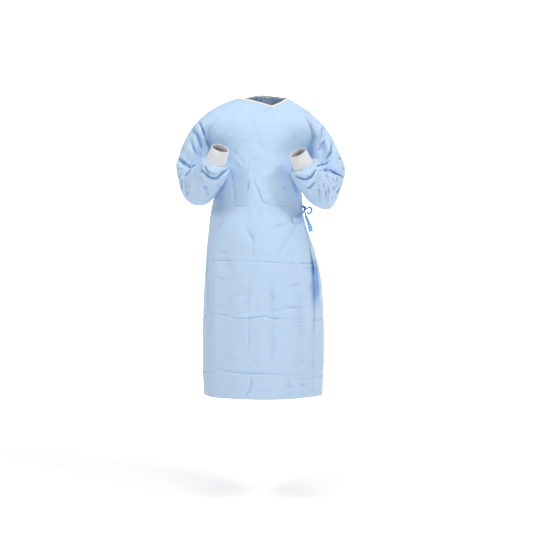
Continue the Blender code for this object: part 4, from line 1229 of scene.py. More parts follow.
@dataclass
class Body:
    """The front panel, the wrap and the under panel."""

    skirt_rows: int = 250
    yoke_rows: int = 90
    front_columns: int = 138
    wrap_columns: int = 128
    under_columns: int = 60
    seam_reach: float = 0.006
    welt: float = 0.0007
    gain: float = 1.4
    turn_in: float = 5.0
    edge_rest: float = 0.0004
    edge_rest_share: float = 0.10
    painted_edge_shade: float = 0.0032
    press_spread: float = 0.022
    rumples: int = 260
    rumple_height: float = 0.0008
    buckles: int = 90
    buckle_height: float = 0.0032

    def levels(self) -> Array:
        """The rows' levels, from the hem (0) over the underarm (1) to the neck (2).

        The rows lie about twice as close together at the press lines.
        """
        fine = np.linspace(0.0, 1.0, 4001)
        height = HEM_Z + (UNDERARM_Z - HEM_Z) * fine
        weight = np.ones(len(fine))
        for line in PRESS_LINES:
            weight += np.exp(-(((height - line) / self.press_spread) ** 2))
        count = np.concatenate([[0.0], np.cumsum((weight[1:] + weight[:-1]) / 2)])
        skirt = np.interp(np.linspace(0.0, count[-1], self.skirt_rows + 1), count, fine)
        yoke = 1.0 + np.arange(1, self.yoke_rows + 1) / self.yoke_rows
        return np.concatenate([skirt, yoke])

    def panel(
        self,
        first: Array,
        last: Array,
        columns: int,
        back: bool,
        lift: Callable[[Array, Array], Array] | None,
    ) -> tuple[Array, Array]:
        """A panel's net between two edge bearings given for each level, with its normals."""
        level = np.repeat(self.levels()[:, None], columns + 1, axis=1)
        spread = np.linspace(0.0, 1.0, columns + 1)
        bearing = first[:, None] + (last - first)[:, None] * spread
        net, normals = body_point(bearing, level, back), body_normal(bearing, level, back)
        if lift is not None:
            net = net + normals * lift(bearing, level)[..., None]
        return net, normals

    def wrap_lift(self, bearing: Array, level: Array) -> Array:
        """How far the wrap lies off the body: nothing at its seam, more over the under panel.

        Its free edge turns in to lie on the front panel, but for where it stands off.
        """
        over = WRAP_LIFT * (1 - ramp(bearing, *WRAP_RISES))
        over = over - (WRAP_LIFT - WRAP_EDGE_LIFT) * (1 - ramp(bearing, *WRAP_EDGE_EASES))
        edge = from_table(EDGES, "level", "wrap_edge", level)
        stand = from_table(EDGES, "level", "stand_off", level)
        full = over + stand * np.exp(-(((bearing - edge) / STAND_OFF_SPREAD) ** 2))
        rest = self.edge_rest + self.edge_rest_share * stand
        near = 1 - ramp(bearing - edge, 0.0, self.turn_in)
        return full - np.clip(full - rest, 0.0, None) * near

    def creased(
        self,
        net: Array,
        normals: Array,
        views: tuple[tuple[View, tuple[Crease, ...]], ...],
        seed: int,
        sewn: tuple[bool, bool, bool, bool],
        share: float = 1.0,
    ) -> Shell:
        """Moves a panel along its normals by the creases of its views and by a seeded rumple."""
        flat = flat_coordinates(net, False)
        narrow = rumple(flat, seed, self.rumples, self.rumple_height)
        for view, creases in views:
            narrow = narrow + self.gain * crease_height(net, normals, view, creases)
        hold = edge_fade(flat, sewn, self.seam_reach)
        beside = hold * (1 - edge_fade(flat, sewn, 2.5 * self.seam_reach))
        waves = buckle(flat, seed + BUCKLE_SEED_STEP, self.buckles, self.buckle_height)
        height = share * (narrow + waves) * hold
        net = net + normals * (height + self.welt * beside)[..., None]
        fine = grid_normals(net, False)
        fine = fine * np.sign(np.sum(fine * normals, axis=-1, keepdims=True))
        # the creases' cavity goes to the material as painted shade in troughs and painted highlight
        # on ridges
        return Shell(net, fine, flat, cavity(share * narrow * hold, False), False)

    def wedge(
        self, shell: Shell, first: Array, last: Array, edge: Array, off: float, spread: float
    ) -> Shell:
        """Paints shade at the wrap's edge, a saturated blue where light falls through the lifted
        cloth.

        The painted shade is a bell across the edge, e^-((b - e - off) / spread)^2, from the knee to
        the tie.

        Args:
            shell: a panel.
            first: the bearings of its first column.
            last: those of its last column.
            edge: the bearings of the wrap's edge.
            off: how far past the edge the bell's top lies, in degrees.
            spread: the bell's reach, in degrees.

        Returns:
            The panel with the painted shade added to its creases.
        """
        columns = shell.crease.shape[1] - 1
        bearing = first[:, None] + (last - first)[:, None] * np.linspace(0.0, 1.0, columns + 1)
        level = self.levels()[:, None]
        window = ramp(level, *WEDGE_LEVELS[:2]) * (1 - ramp(level, *WEDGE_LEVELS[2:]))
        bell = np.exp(-(((bearing - edge[:, None] - off) / spread) ** 2))
        return shell._replace(crease=shell.crease - self.painted_edge_shade * window * bell)

    def build(self, cloth: bpy.types.Material) -> dict[str, tuple[bpy.types.Object, Shell]]:
        """Builds and dresses the three panels.

        Args:
            cloth: the nonwoven's material.

        Returns:
            For each panel's name, its object and its shell.
        """
        level = self.levels()
        right, left, wrap_edge, under_edge = (
            from_table(EDGES, "level", name, level)
            for name in ("right_seam", "left_seam", "wrap_edge", "under_edge")
        )
        front = self.creased(
            *self.panel(right - 360.0, left, self.front_columns, False, None),
            (
                (View.FRONT, FRONT_CREASES),
                (View.RIGHT, RIGHT_CREASES),
                (View.LEFT, LEFT_CREASES),
            ),
            11,
            (False, True, True, True),
        )
        wrap = self.creased(
            *self.panel(right, wrap_edge, self.wrap_columns, True, self.wrap_lift),
            (
                (View.BACK, BACK_CREASES),
                (View.LEFT, LEFT_CREASES),
                (View.RIGHT, RIGHT_CREASES),
            ),
            12,
            (False, True, True, False),
        )
        under = self.creased(
            *self.panel(left, under_edge, self.under_columns, True, None),
            ((View.BACK, BACK_CREASES), (View.LEFT, LEFT_CREASES)),
            13,
            (False, True, True, False),
            0.5,
        )
        # painted shade along the wrap's edge, on the front panel under it and on the wrap
        front = self.wedge(front, right - 360.0, left, wrap_edge, 1.5, 7.0)
        wrap = self.wedge(wrap, right, wrap_edge, wrap_edge, 0.5, 5.5)
        made = {}
        for name, shell in (
            ("front_panel", front),
            ("back_panel_right", wrap),
            ("back_panel_left", under),
        ):
            obj = shell_object(name + "_cloth", shell, SHELL)
            dress(obj, name, cloth)
            made[name] = (obj, shell)
        return made


def dress(obj: bpy.types.Object, node: str, material: bpy.types.Material) -> None:
    """Gives a piece its material, and lets it ride and stand for its solid.

    Args:
        obj: the piece.
        node: the solid that it replaces.
        material: the piece's material.
    """
    obj.data.materials.append(material)
    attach(obj, "root")
    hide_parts(node)
    area = sum(face.area for face in obj.data.polygons)
    LOG.info("%s: %d faces, %.4f m2 on both sides", obj.name, len(obj.data.polygons), area)


def ring(
    centre: Array, across: Array, deep: Array, inner: float, outer: float, half_depth: float
) -> Array:
    """A ring of points: inner side, front, outer side, back, as the armhole's loop runs."""
    turn = 2 * math.pi * np.arange(RING_POINTS)[:, None] / RING_POINTS
    width = np.where(np.cos(turn) > 0, inner, outer)
    return centre - width * np.cos(turn) * across + half_depth * np.sin(turn) * deep


@dataclass
class Sleeve:
    """One raglan sleeve with its knit cuff, from the armhole over the bent elbow to the cuff."""

    name: str
    side: float
    elbow: tuple[float, float, float]
    cuff_way: tuple[float, float, float]
    front_creases: tuple[Crease, ...]
    seed: int
    swing: float = 25.0
    rise: float = 24.5
    upper_rings: int = 9
    bend_rings: int = 8
    relax_passes: int = 4
    outer_width: float = 0.080
    inner_width: float = 0.058
    half_depth: float = 0.052
    crook_radius: float = 0.008
    elbow_point: float = 0.036
    elbow_peak: float = 0.58
    elbow_spread: float = 0.27
    elbow_pinch: float = 0.2
    forearm_width: float = 0.062
    forearm_depth: float = 0.056
    forearm_length: float = 0.118
    roll_radius: float = 0.058
    cuff_root: float = 0.0390
    cuff_end: float = 0.0330
    cuff_length: float = 0.061
    cuff_tuck: float = 0.007
    cuff_wall: float = 0.0009
    rib_count: int = 54
    rib_height: float = 0.0010
    pleat_count: int = 22
    pleat_height: float = 0.0017
    welt: float = 0.0007
    gain: float = 1.7
    other_views: float = 0.75
    fine_rows: int = 168
    gather_rows: int = 18
    fine_columns: int = 7
    cuff_rows: int = 46
    rib_points: int = 6
    lip_points: int = 7
    back_points: int = 5
    back_length: float = 0.012
    rumples: int = 300
    rumple_height: float = 0.0013
    buckles: int = 60
    buckle_height: float = 0.0042

    def leave(self) -> Array:
        """The direction in which the sleeve leaves its armhole at each of its points."""
        turn = np.arange(RING_POINTS) / RING_POINTS
        up = 0.6 * np.abs(np.cos(math.pi * turn)) ** 10 - (0.22 + 0.13 * self.side)
        ahead = -0.12 * np.sin(2 * math.pi * turn)
        return unit(np.stack([np.full(RING_POINTS, self.side), ahead, up], axis=-1))

    def directions(self) -> tuple[Array, Array, Array]:
        """Across the bend (outwards), level ahead along the forearm, and up."""
        swing = math.radians(self.swing)
        ahead = np.array([-self.side * math.sin(swing), -math.cos(swing), 0.0])
        across = np.array([self.side * math.cos(swing), -math.sin(swing), 0.0])
        return across, ahead, np.array([0.0, 0.0, 1.0])

    def upper(self, root: Array, lower: Array) -> list[Array]:
        """The rings from the armhole to the elbow: cubic runs that leave both rings square."""
        reach = np.linalg.norm(lower - root, axis=1, keepdims=True)
        for _ in range(4):
            reach = (np.roll(reach, 1, axis=0) + 2 * reach + np.roll(reach, -1, axis=0)) / 4
        low = np.cos(math.pi * np.arange(RING_POINTS) / RING_POINTS)[:, None] ** 2
        away = self.leave() * reach * (1.40 - 0.80 * low)
        down = np.array([0.0, 0.0, -1.0]) * reach * (0.60 + 0.70 * low)
        rings = []
        for i in range(self.upper_rings):
            u = i / self.upper_rings
            rings.append(
                root * (1 + 2 * u) * (1 - u) ** 2
                + lower * u**2 * (3 - 2 * u)
                + away * u * (1 - u) ** 2
                - down * u**2 * (1 - u)
            )
        return rings

    def bend(self, pivot: Array) -> tuple[list[Array], Array]:
        """The rings round the elbow, about the crook, and the last ring's centre."""
        across, ahead, up = self.directions()
        total = math.radians(90.0 + self.rise)
        rings, centre = [], pivot
        for i in range(self.bend_rings + 1):
            u = i / self.bend_rings
            angle = total * u
            spoke = -math.cos(angle) * ahead - math.sin(angle) * up
            point = self.elbow_point * math.exp(-(((u - self.elbow_peak) / self.elbow_spread) ** 2))
            depth = self.half_depth + (self.forearm_depth - self.half_depth) * u + point / 2
            inner = self.inner_width + (self.forearm_width - self.inner_width) * u
            outer = self.outer_width + (self.forearm_width - self.outer_width) * u
            pinch = self.elbow_pinch * point
            centre = pivot + spoke * (self.crook_radius + depth)
            rings.append(ring(centre, across, -spoke, inner - pinch, outer - pinch, depth))
        return rings, centre

    def cuff_radius(self, along: float | Array) -> float | Array:
        """The cuff's outer radius at a distance along it from where it leaves the sleeve."""
        share = (along + self.cuff_tuck) / (self.cuff_length + self.cuff_tuck)
        return self.cuff_root + (self.cuff_end - self.cuff_root) * share

    def coarse(self) -> tuple[Array, Array, Array, Array, Array]:
        """The solid's rings, with the cuff's root, direction, and two directions across it."""
        across, ahead, up = self.directions()
        elbow = np.array(self.elbow)
        cols = np.arange(RING_POINTS, dtype=float)
        lower = ring(elbow, across, ahead, self.inner_width, self.outer_width, self.half_depth)
        rings = self.upper(armhole(self.side, cols), lower)
        bend, centre = self.bend(elbow + ahead * (self.half_depth + self.crook_radius))
        rings += bend
        end = unit(np.array(self.cuff_way))
        rise = math.radians(self.rise)
        start = math.cos(rise) * ahead + math.sin(rise) * up
        turn = ramp(np.arange(PATH_STEPS + 1) / PATH_STEPS, 0.25, 1.05)[:, None]
        heading = unit(start * (1 - turn) + end * turn)
        path = centre + np.concatenate(
            [np.zeros((1, 3)), np.cumsum(heading[:-1], axis=0) * self.forearm_length / PATH_STEPS]
        )

        def frame_of(way: Array) -> tuple[Array, Array]:
            """Two directions square to the way: across, and the one nearest to up."""
            wide = unit(across - way * np.dot(across, way))
            deep = np.cross(wide, way) * self.side
            return wide, deep * np.sign(np.dot(deep, up))

        for share, roll in FOREARM_RINGS:
            at = round(share * PATH_STEPS)
            wide, deep = frame_of(heading[at])
            width = self.forearm_width + (self.roll_radius - self.forearm_width) * roll
            depth = self.forearm_depth + (self.roll_radius - self.forearm_depth) * roll
            rings.append(ring(path[at], wide, deep, width, width, depth))
        wide, deep = frame_of(end)
        root = path[-1]
        collar = self.cuff_radius(0.0048) + 0.0004
        for along, radius in ((0.001, 0.053), (0.0045, 0.0465), (0.0048, collar)):
            rings.append(ring(root + end * along, wide, deep, radius, radius, radius))
        rings = np.array(rings)
        upper = slice(1, self.upper_rings)
        for _ in range(self.relax_passes):
            beside = (np.roll(rings, 1, axis=1) + np.roll(rings, -1, axis=1))[upper] / 2
            next_to = (rings[: self.upper_rings - 1] + rings[2 : self.upper_rings + 1]) / 2
            rings[upper] = rings[upper] / 2 + beside / 4 + next_to / 4
        return rings, root, end, wide, deep

    def outward(self, net: Array) -> Array:
        """The net's normals, turned away from each ring's middle."""
        normals = grid_normals(net, True)
        away = net - net.mean(axis=1, keepdims=True)
        return normals * np.sign(np.sum(normals * away))

    def crumpled(self, rings: Array) -> Array:
        """The solid's rings moved out by the broad folds: a bell along and round for each."""
        bearing = 360.0 * np.arange(RING_POINTS) / RING_POINTS
        numbers = np.arange(len(rings), dtype=float)
        total = np.zeros((len(rings), RING_POINTS))
        for fold in CRUMPLES:
            off = (bearing - fold.bearing - 8.0 * self.side + 180.0) % 360.0 - 180.0
            reach = ((numbers - fold.ring - 0.4 * self.side) / fold.along) ** 2
            total += fold.height * np.exp(-reach)[:, None] * np.exp(-((off / fold.around) ** 2))
        total *= ramp(numbers, 0.0, 3.5)[:, None]
        return rings + self.outward(rings) * total[..., None]

    def shell(self, rings: Array) -> Shell:
        """The sleeve's fine net with its creases, pleats at the cuff and a welt at the armhole."""
        last = len(rings) - 1
        even = np.linspace(0.0, last - 3.0, self.fine_rows)
        rows = np.concatenate([even, np.linspace(last - 3.0, last, self.gather_rows + 1)[1:]])
        cols = np.arange(RING_POINTS * self.fine_columns) / self.fine_columns
        net = refine(self.crumpled(rings), rows, cols)
        exact = armhole(self.side, cols)
        settle = (1 - ramp(rows, 0.0, 1.0))[:, None, None]
        net = net + (exact - net[0])[None] * settle
        normals = self.outward(net)
        flat = flat_coordinates(net, True)
        mirror = np.array([self.side, 1.0, 1.0])
        height = crease_height(net, normals, View.FRONT, self.front_creases, 0.72)
        for view, creases, least in (
            (View.BACK, SLEEVE_BACK, 0.05),
            (View.LEFT, SLEEVE_OUTSIDE, 0.5),
        ):
            seen = crease_height(net * mirror, normals * mirror, view, creases, 0.62, least)
            height = height + self.other_views * seen
        open_flat = flat[:, :-1]
        narrow = self.gain * height
        narrow = narrow + rumple(open_flat, self.seed, self.rumples, self.rumple_height)
        seed = self.seed + BUCKLE_SEED_STEP
        height = narrow + buckle(open_flat, seed, self.buckles, self.buckle_height)
        turn = 2 * math.pi * cols / RING_POINTS
        gap = open_flat[..., 1]
        left = np.clip(gap[-1] - gap, 0.0, None)
        wander = self.pleat_count * turn + 1.8 * np.sin(3 * turn + self.seed) + np.sin(5 * turn)
        pleats = self.pleat_height * np.sin(wander) * (0.65 + 0.35 * np.sin(4 * turn + self.side))
        gathers = pleats * np.exp(-(((left - 0.006) / 0.017) ** 2))
        hold = ramp(gap, 0.0, 0.006) * ramp(left, 0.0, 0.003)
        welt = self.welt * ramp(gap, 0.0, 0.006) * (1 - ramp(gap, 0.0, 0.015))
        net = net + normals * ((height + gathers) * hold + welt)[..., None]
        # the creases' cavity goes to the material as painted shade in troughs and painted highlight
        # on ridges
        return Shell(
            net, self.outward(net), flat, cavity((narrow + gathers) * hold, True), True
        )

    def cuff_shell(self, root: Array, way: Array, wide: Array, deep: Array) -> Shell:
        """The knit tube: out along the cuff, over a soft lip, and a little way back inside.

        The outer radius is r + h |cos(n a)| round the tube, so ribs stand h high over a plain wall.
        """
        round_points = self.rib_count * self.rib_points
        turn = 2 * math.pi * np.arange(round_points) / round_points
        share = np.linspace(0.0, 1.0, self.cuff_rows)
        along = -self.cuff_tuck + (self.cuff_length + self.cuff_tuck - 0.0015) * share
        radius = self.cuff_radius(along) - self.rib_height
        lip = np.linspace(0.0, math.pi, self.lip_points + 1)[1:]
        along = np.concatenate([along, along[-1] + 0.0014 * np.sin(lip)])
        radius = np.concatenate([radius, radius[-1] - 0.0011 * (1 - np.cos(lip))])
        outer_rows = self.cuff_rows + self.lip_points // 2
        back = np.linspace(0.0, self.back_length, self.back_points + 1)[1:]
        along = np.concatenate([along, along[-1] - back])
        radius = np.concatenate([radius, np.full(self.back_points, radius[-1])])
        rib = self.rib_height * np.abs(np.cos(self.rib_count * turn / 2))
        outside = (np.arange(len(along)) < outer_rows)[:, None]
        slack = 0.0006 * np.sin(2 * turn + 1.0) * ramp(along, 0.01, 0.05)[:, None]
        full = radius[:, None] + np.where(outside, rib, 0.0) + slack
        spoke = -np.cos(turn)[:, None] * wide + np.sin(turn)[:, None] * deep
        net = root + way * along[:, None, None] + spoke * full[..., None]
        normals = grid_normals(net, True)
        normals = normals * np.sign(np.sum(normals[:40] * spoke))
        flat = flat_coordinates(net, True)
        # the rib valleys, which the knit darkens as painted shade
        valley = np.where(outside, rib - self.rib_height, 0.0)
        return Shell(net, normals, flat, valley, True)

    def build(self, cloth: bpy.types.Material, knit: bpy.types.Material) -> list[Shell]:
        """Builds and dresses the sleeve and its cuff, and returns their shells."""
        rings, root, end, wide, deep = self.coarse()
        sleeve = self.shell(rings)
        obj = shell_object(f"sleeve_{self.name}_cloth", sleeve, SHELL)
        dress(obj, f"sleeve_{self.name}", cloth)
        cuff = self.cuff_shell(root, end, wide, deep)
        tube = shell_object(f"cuff_{self.name}_knit", cuff, self.cuff_wall)
        dress(tube, f"cuff_{self.name}", knit)
        return [sleeve, cuff]


@dataclass
class Binding:
    """The folded strip on the neckline, from the under panel round the front to the wrap."""

    width: float = 0.0065
    half_thickness: float = 0.0011
    foot: float = 0.0003
    steps: int = 420
    section_points: int = 20
    way_passes: int = 60
    place_passes: int = 3

    def path(self, shells: dict[str, Shell]) -> tuple[Array, Array]:
        """The neckline's points and the directions in which the cloth leaves them."""
        places, ways = [], []

        def take(net: Array, order: slice) -> None:
            places.append(net[-1, order])
            ways.append(unit(net[-1, order] - net[-4, order]))

        def cross(side: float, forward: bool) -> None:
            cols = np.linspace(YOKE_ROWS, YOKE_ROWS + SHOULDER_STEPS, 26)[1:-1]
            cols = cols if forward else cols[::-1]
            places.append(armhole(side, cols))
            sleeve = ARMS[0 if side < 0 else 1].leave()
            at = np.round(cols).astype(int)
            ways.append(-sleeve[at])

        take(shells["back_panel_left"].net, slice(None, None, -1))
        cross(1.0, False)
        take(shells["front_panel"].net, slice(None, None, -1))
        cross(-1.0, True)
        take(shells["back_panel_right"].net, slice(None))
        return np.concatenate(places), np.concatenate(ways)

    def build(self, shells: dict[str, Shell], tape: bpy.types.Material) -> None:
        """Builds the binding: a flat oval section carried along the neckline."""
        places, ways = self.path(shells)
        gone = np.concatenate([[0.0], np.cumsum(np.linalg.norm(np.diff(places, axis=0), axis=1))])
        keep = np.concatenate([[True], np.diff(gone) > 1e-5])
        gone, places, ways = gone[keep], places[keep], ways[keep]
        at = np.linspace(0.0, gone[-1], self.steps)
        places = np.stack([np.interp(at, gone, places[:, i]) for i in range(3)], axis=-1)
        ways = np.stack([np.interp(at, gone, ways[:, i]) for i in range(3)], axis=-1)
        for _ in range(self.way_passes):
            padded = np.concatenate([ways[:1], ways, ways[-1:]])
            ways = unit(padded[:-2] + 2 * padded[1:-1] + padded[2:])
        for _ in range(self.place_passes):
            inner = (places[:-2] + 2 * places[1:-1] + places[2:]) / 4
            places = np.concatenate([places[:1], inner, places[-1:]])
        normal = unit(np.cross(np.gradient(places, axis=0), ways))
        turn = np.linspace(0.0, 2 * math.pi, self.section_points, endpoint=False)
        rise = self.foot + self.width * (0.5 - 0.5 * blunt(np.cos(turn), 0.7))
        thick = self.half_thickness * blunt(np.sin(turn), 0.6)
        net = (
            places[:, None]
            + ways[:, None] * rise[None, :, None]
            + normal[:, None] * thick[None, :, None]
        )
        net = net - normal[:, None] * (SHELL / 2)
        sides = np.stack(np.meshgrid(rise * 2, at), axis=-1).reshape(-1, 2)
        flat = np.concatenate([sides, [[0.0, 0.0], [0.0, at[-1]]]])
        obj = capped_tube("neck_binding_tape", net, net[[0, -1]].mean(axis=1), flat)
        dress(obj, "neck_binding", tape)


@dataclass
class Ties:
    """The front tie with its patch, the wrap's tie, and the knot, loop and tail that join them."""

    width: float = 0.012
    shell: float = 0.0009
    edge_height: float = 0.00035
    knot_spot: Spot = Spot(81.5, -0.420, 0.0165)
    knot_size: float = 0.0085
    knot_rows: int = 39
    knot_columns: int = 56
    laid_steps: int = 60
    free_steps: int = 90
    across_points: int = 11
    patch_bearings: tuple[float, float] = (49.0, 70.0)
    patch_heights: tuple[float, float] = (-0.476, -0.447)
    patch_lift: float = 0.0016
    stitch_inset: float = 0.0035
    stitch_width: float = 0.0011
    stitch_depth: float = 0.0005
    front_spots: tuple[Spot, ...] = (
        Spot(56.0, -0.451, 0.0021),
        Spot(62.0, -0.450, 0.0022),
        Spot(68.0, -0.446, 0.0032),
        Spot(73.5, -0.439, 0.0070),
        Spot(78.8, -0.4285, 0.0141),
    )
    wrap_spots: tuple[Spot, ...] = (
        Spot(104.0, -0.409, 0.0074),
        Spot(98.0, -0.410, 0.0076),
        Spot(91.0, -0.413, 0.0095),
        Spot(84.3, -0.4175, 0.0138),
    )
    loop_stations: tuple[Station, ...] = (
        Station(0.1692, -0.030, -0.4230, 0.011, 12.0),
        Station(0.1745, -0.033, -0.4165, 0.012, 30.0),
        Station(0.1810, -0.035, -0.4155, 0.013, 38.0),
        Station(0.1862, -0.036, -0.4190, 0.013, 38.0),
        Station(0.1882, -0.036, -0.4260, 0.013, 38.0),
        Station(0.1862, -0.035, -0.4320, 0.013, 36.0),
        Station(0.1795, -0.034, -0.4385, 0.013, 32.0),
        Station(0.1725, -0.032, -0.4370, 0.012, 26.0),
        Station(0.1694, -0.030, -0.4300, 0.011, 12.0),
    )
    tail_stations: tuple[Station, ...] = (
        Station(0.1636, -0.026, -0.4284, 0.010, 18.0),
        Station(0.1650, -0.033, -0.4430, 0.012, 40.0),
        Station(0.1685, -0.041, -0.4560, 0.014, 55.0),
        Station(0.1735, -0.047, -0.4690, 0.015, 60.0),
        Station(0.1785, -0.047, -0.4820, 0.017, 72.0),
        Station(0.1820, -0.047, -0.4950, 0.018, 78.0),
        Station(0.1850, -0.047, -0.5080, 0.018, 82.0),
    )

    def on_body(self, bearing: Array, z: Array, lift: Array) -> tuple[Array, Array]:
        """A point of the body at a bearing and height, stood off by a lift, and its normal."""
        level = (z - HEM_Z) / (UNDERARM_Z - HEM_Z)
        way = body_normal(bearing, level, False)
        return body_point(bearing, level, False) + way * lift[..., None], way

    def strip(self, net: Array, normals: Array) -> Shell:
        """A strip's shell, with its two long edges folded a little thicker and painted paler as a
        highlight.
        """
        flat = flat_coordinates(net, False)
        side = np.abs(np.linspace(-1.0, 1.0, net.shape[0]))[:, None]
        height = np.broadcast_to(self.edge_height * ramp(side, 0.62, 0.9), flat.shape[:2])
        return Shell(net + normals * height[..., None], normals, flat, height, False)

    def laid(self, spots: tuple[Spot, ...]) -> Shell:
        """A tie that lies on the body: a curve through the spots, as wide as the tie."""
        at = np.linspace(0.0, len(spots) - 1.0, self.laid_steps)
        knots = np.arange(len(spots), dtype=float)
        bearing, z, lift = (smooth(knots, column(spots, key), at) for key in Spot._fields)
        share = np.linspace(-0.5, 0.5, self.across_points)[:, None]
        return self.strip(
            *self.on_body(*np.broadcast_arrays(bearing, z + share * self.width, lift + self.shell))
        )

    def free(self, stations: tuple[Station, ...]) -> Shell:
        """A tie that hangs free: a strip along its stations, which turns about its length."""
        knots = np.arange(len(stations), dtype=float)
        at = np.linspace(0.0, len(stations) - 1.0, self.free_steps)
        x, y, z, width, turn = (smooth(knots, column(stations, k), at) for k in Station._fields)
        middle = np.stack([x, y, z], axis=-1)
        along = unit(np.gradient(middle, axis=0))
        front = np.array([0.0, -1.0, 0.0])
        ahead = unit(front - along * np.sum(front * along, axis=-1, keepdims=True))
        angle = np.radians(turn)[:, None]
        flat = ahead * np.cos(angle) + np.cross(along, ahead) * np.sin(angle)
        out = np.cross(along, flat)
        share = np.linspace(-0.5, 0.5, self.across_points)[:, None]
        net = middle + flat * (width * share)[..., None] + out * self.shell / 2
        return self.strip(net, np.broadcast_to(out, net.shape))

    def knot(self, tape: bpy.types.Material) -> bpy.types.Object:
        """The knot: an oval whose radius swells along three wraps that lean across it."""
        spot = self.knot_spot
        centre, _ = self.on_body(np.array(spot.bearing), np.array(spot.z), np.array(spot.lift))
        turn, rise = np.meshgrid(
            2 * math.pi * np.arange(self.knot_columns) / self.knot_columns,
            np.linspace(-math.pi / 2, math.pi / 2, self.knot_rows + 2)[1:-1],
        )
        lean = np.sin(rise) * 2.6 + 0.55 * np.sin(turn)
        swell = 0.86 + 0.12 * np.abs(np.cos(1.5 * lean * math.pi / 2)) ** 0.7
        ball = np.stack(
            [np.cos(rise) * np.cos(turn), np.cos(rise) * np.sin(turn), np.sin(rise)], axis=-1
        )
        poles = np.array([[0.0, 0.0, -0.88], [0.0, 0.0, 0.88]])
        size = self.knot_size * np.array([0.75, 0.9, 1.1])
        sides = np.stack([turn, rise], axis=-1).reshape(-1, 2) * 0.008
        obj = capped_tube(
            "tie_knot_wraps",
            centre + ball * swell[..., None] * size,
            centre + poles * size,
            np.concatenate([sides, [[0.0, -0.013], [0.0, 0.013]]]),
        )
        dress(obj, "tie_knot", tape)
        return obj

    def patch(self, cloth: bpy.types.Material) -> bpy.types.Object:
        """The sewn patch under the front tie, with its stitched border pressed in."""
        bearing, z = np.meshgrid(
            np.linspace(*self.patch_bearings, 61), np.linspace(*self.patch_heights, 37)
        )
        net, way = self.on_body(bearing, z, np.full(z.shape, self.patch_lift))
        flat = flat_coordinates(net, False)
        u, v = flat[..., 0], flat[..., 1]
        border = np.minimum(np.minimum(u, u.max() - u), np.minimum(v, v.max() - v))
        stitch = (border - self.stitch_inset) / self.stitch_width
        height = -self.stitch_depth * np.exp(-(stitch**2))
        # the stitched groove's depth, scaled up, becomes painted shade in the cloth's colour
        shell = Shell(net + way * height[..., None], way, flat, 5 * height, False)
        obj = shell_object("front_tie_patch_cloth", shell, SHELL)
        dress(obj, "front_tie_patch", cloth)
        return obj

    def build(
        self,
        cloth: bpy.types.Material,
        tape: bpy.types.Material,
        pale: bpy.types.Material,
        laid: bpy.types.Material,
    ) -> None:
        """Builds and dresses the patch, the two laid ties, the knot, the loop and the tail.

        Args:
            cloth: the patch's material.
            tape: that of the knot, the loop and the wrap's tie, a darker tone as painted shade.
            pale: that of the tail, a paler tone as painted light.
            laid: that of the front tie, a paler tone as painted light.
        """
        patch = self.patch(cloth)
        for name, spots, finish in (
            ("front_tie", self.front_spots, laid),
            ("wrap_tie", self.wrap_spots, tape),
        ):
            shell = self.laid(spots)
            obj = shell_object(name + "_tape", shell, self.shell)
            dress(obj, name, finish)
        knot = self.knot(tape)
        loop_shell, tail_shell = self.free(self.loop_stations), self.free(self.tail_stations)
        loop = shell_object("tie_loop_tape", loop_shell, self.shell)
        dress(loop, "tie_loop", tape)
        tail = shell_object("tie_tail_tape", tail_shell, self.shell)
        dress(tail, "tie_tail", pale)


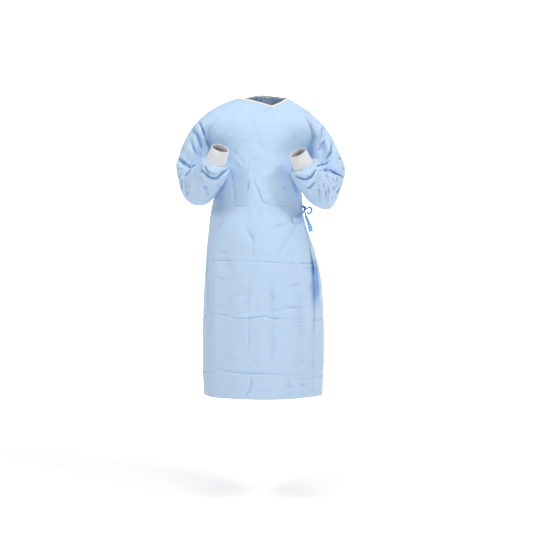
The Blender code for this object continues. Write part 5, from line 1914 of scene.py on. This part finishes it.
@dataclass
class Studio:
    """A pale floor that curves up behind and glows as painted light, soft lights and the camera at
    the picture's angle.
    """

    half_width: float = 9.0
    near: float = -9.0
    far: float = 9.0
    curve: float = 3.0
    top: float = 9.0
    tone: float = 0.86
    # glow and floor_glow: how brightly the sheet glows, as painted light
    glow: float = 0.88
    floor_glow: float = 0.36
    sky: Colour = (0.95, 0.97, 1.0, 1.0)
    sky_strength: float = 0.14

    def backdrop(self) -> None:
        """The floor and the wall behind it as one sheet, curved where they meet, glowing as painted
        light.
        """
        turn = np.linspace(0.0, math.pi / 2, 25)
        bend = self.far - self.curve + self.curve * np.sin(turn)
        y = np.concatenate([[self.near], bend, [self.far]])
        z = np.concatenate([[0.0], self.curve * (1 - np.cos(turn)), [self.top]]) + FLOOR_Z
        x = np.array([-self.half_width, self.half_width])
        net = np.stack([np.tile(x, len(y)), np.repeat(y, 2), np.repeat(z, 2)], axis=-1)
        first = np.arange(len(y) - 1) * 2
        faces = np.stack([first, first + 1, first + 3, first + 2], axis=1)
        obj = plain_mesh("studio_backdrop", net, faces)
        g = Graph("studio_paper")
        place = g.node("ShaderNodeTexCoord", {}, {}, "Object")
        grain = g.noise(place, 6.0, 3.0, 0.5)
        tone, paler, dim, full = (
            (value, value, value, 1.0)
            for value in (self.tone, self.tone + 0.02, self.floor_glow, 1.0)
        )
        paper = g.finish(g.mix(grain, tone, paler), 0.9, grain, 0.0002)
        # painted light: the sheet glows, dimmer on the floor near the camera and full on the wall
        # behind
        depth = (g.split(place)[1] * 0.22 - 0.2).clamped()
        g.put(g.shader.inputs["Emission Color"], g.mix(depth, dim, full))
        g.shader.inputs["Emission Strength"].default_value = self.glow
        obj.data.materials.append(paper)

    def light(self, lamp: Lamp) -> None:
        """Hangs one lamp and turns it towards its aim."""
        light = bpy.data.lights.new(lamp.name, "AREA")
        light.shape, light.size, light.energy = "SQUARE", lamp.size, lamp.power
        obj = bpy.data.objects.new(lamp.name, light)
        obj.location = lamp.place
        way = unit(np.array(lamp.aim) - np.array(lamp.place))
        level = math.hypot(way[0], way[1])
        obj.rotation_euler = (math.atan2(level, -way[2]), 0.0, math.atan2(-way[0], way[1]))
        bpy.context.scene.collection.objects.link(obj)

    def camera(self) -> None:
        """The level camera straight in front, shifted so that the neck is at its place."""
        span = PICTURE_SIZE * VIEW_UNIT
        lens = bpy.data.cameras.new("camera")
        lens.sensor_width = SENSOR
        lens.lens = SENSOR * CAMERA_DISTANCE / span
        middle = (PICTURE_SIZE / 2 - NECK_ROW) * VIEW_UNIT
        lens.shift_y = -(middle + CAMERA_HEIGHT) / span
        obj = bpy.data.objects.new("camera", lens)
        obj.location = (CAMERA_ACROSS, -CAMERA_DISTANCE, CAMERA_HEIGHT)
        obj.rotation_euler = (math.pi / 2, 0.0, 0.0)
        bpy.context.scene.collection.objects.link(obj)
        bpy.context.scene.camera = obj

    def build(self) -> None:
        """Sets the backdrop, the sky, the lights, the camera and the plain view transform."""
        self.backdrop()
        world = bpy.data.worlds.new("studio_air")
        world.use_nodes = True
        sky = world.node_tree.nodes["Background"]
        sky.inputs["Color"].default_value = self.sky
        sky.inputs["Strength"].default_value = self.sky_strength
        bpy.context.scene.world = world
        for lamp in LAMPS:
            self.light(lamp)
        bpy.context.scene.view_settings.view_transform = "Standard"
        self.camera()


ARMS = (
    Sleeve("right", -1.0, (-0.250, -0.012, -0.262), (0.32, -0.44, 0.84), RIGHT_SLEEVE_FRONT, 21),
    Sleeve("left", 1.0, (0.238, -0.012, -0.275), (-0.40, -0.42, 0.81), LEFT_SLEEVE_FRONT, 22),
)


def main() -> None:
    logging.basicConfig(level=logging.INFO, format="%(name)s: %(message)s")
    # the robe's third colour is the painted shade of its crease troughs
    robe = Nonwoven(
        "robe_nonwoven", (0.60, 0.755, 0.925, 1.0), (0.43, 0.62, 0.86, 1.0), (0.13, 0.29, 0.64, 1.0)
    ).material()
    knit = Knit("cuff_knit", (0.98, 0.98, 0.97, 1.0), (0.80, 0.80, 0.81, 1.0)).material()
    ivory = Tape("neck_tape", (0.98, 0.97, 0.84, 1.0), (0.93, 0.90, 0.72, 1.0)).material()
    # one tie tape in three tones: this darker one is painted shade on the wrap's tie, knot and loop
    shaded_tie_tape = Tape("tie_tape", (0.17, 0.43, 0.87, 1.0), (0.08, 0.29, 0.72, 1.0)).material()
    # a paler tone of the tie tape for the tail, as painted light
    pale = Tape("tie_end_tape", (0.30, 0.56, 0.93, 1.0), (0.20, 0.45, 0.86, 1.0)).material()
    Studio().build()
    panels = Body().build(robe)
    for arm in ARMS:
        arm.build(robe, knit)
    Binding().build({name: shell for name, (_, shell) in panels.items()}, ivory)
    # a paler tone of the tie tape for the front tie, as painted light
    soft = Tape("front_tie_tape", (0.42, 0.62, 0.91, 1.0), (0.27, 0.48, 0.84, 1.0)).material()
    Ties().build(robe, shaded_tie_tape, pale, soft)


if __name__ == "__main__":
    main()
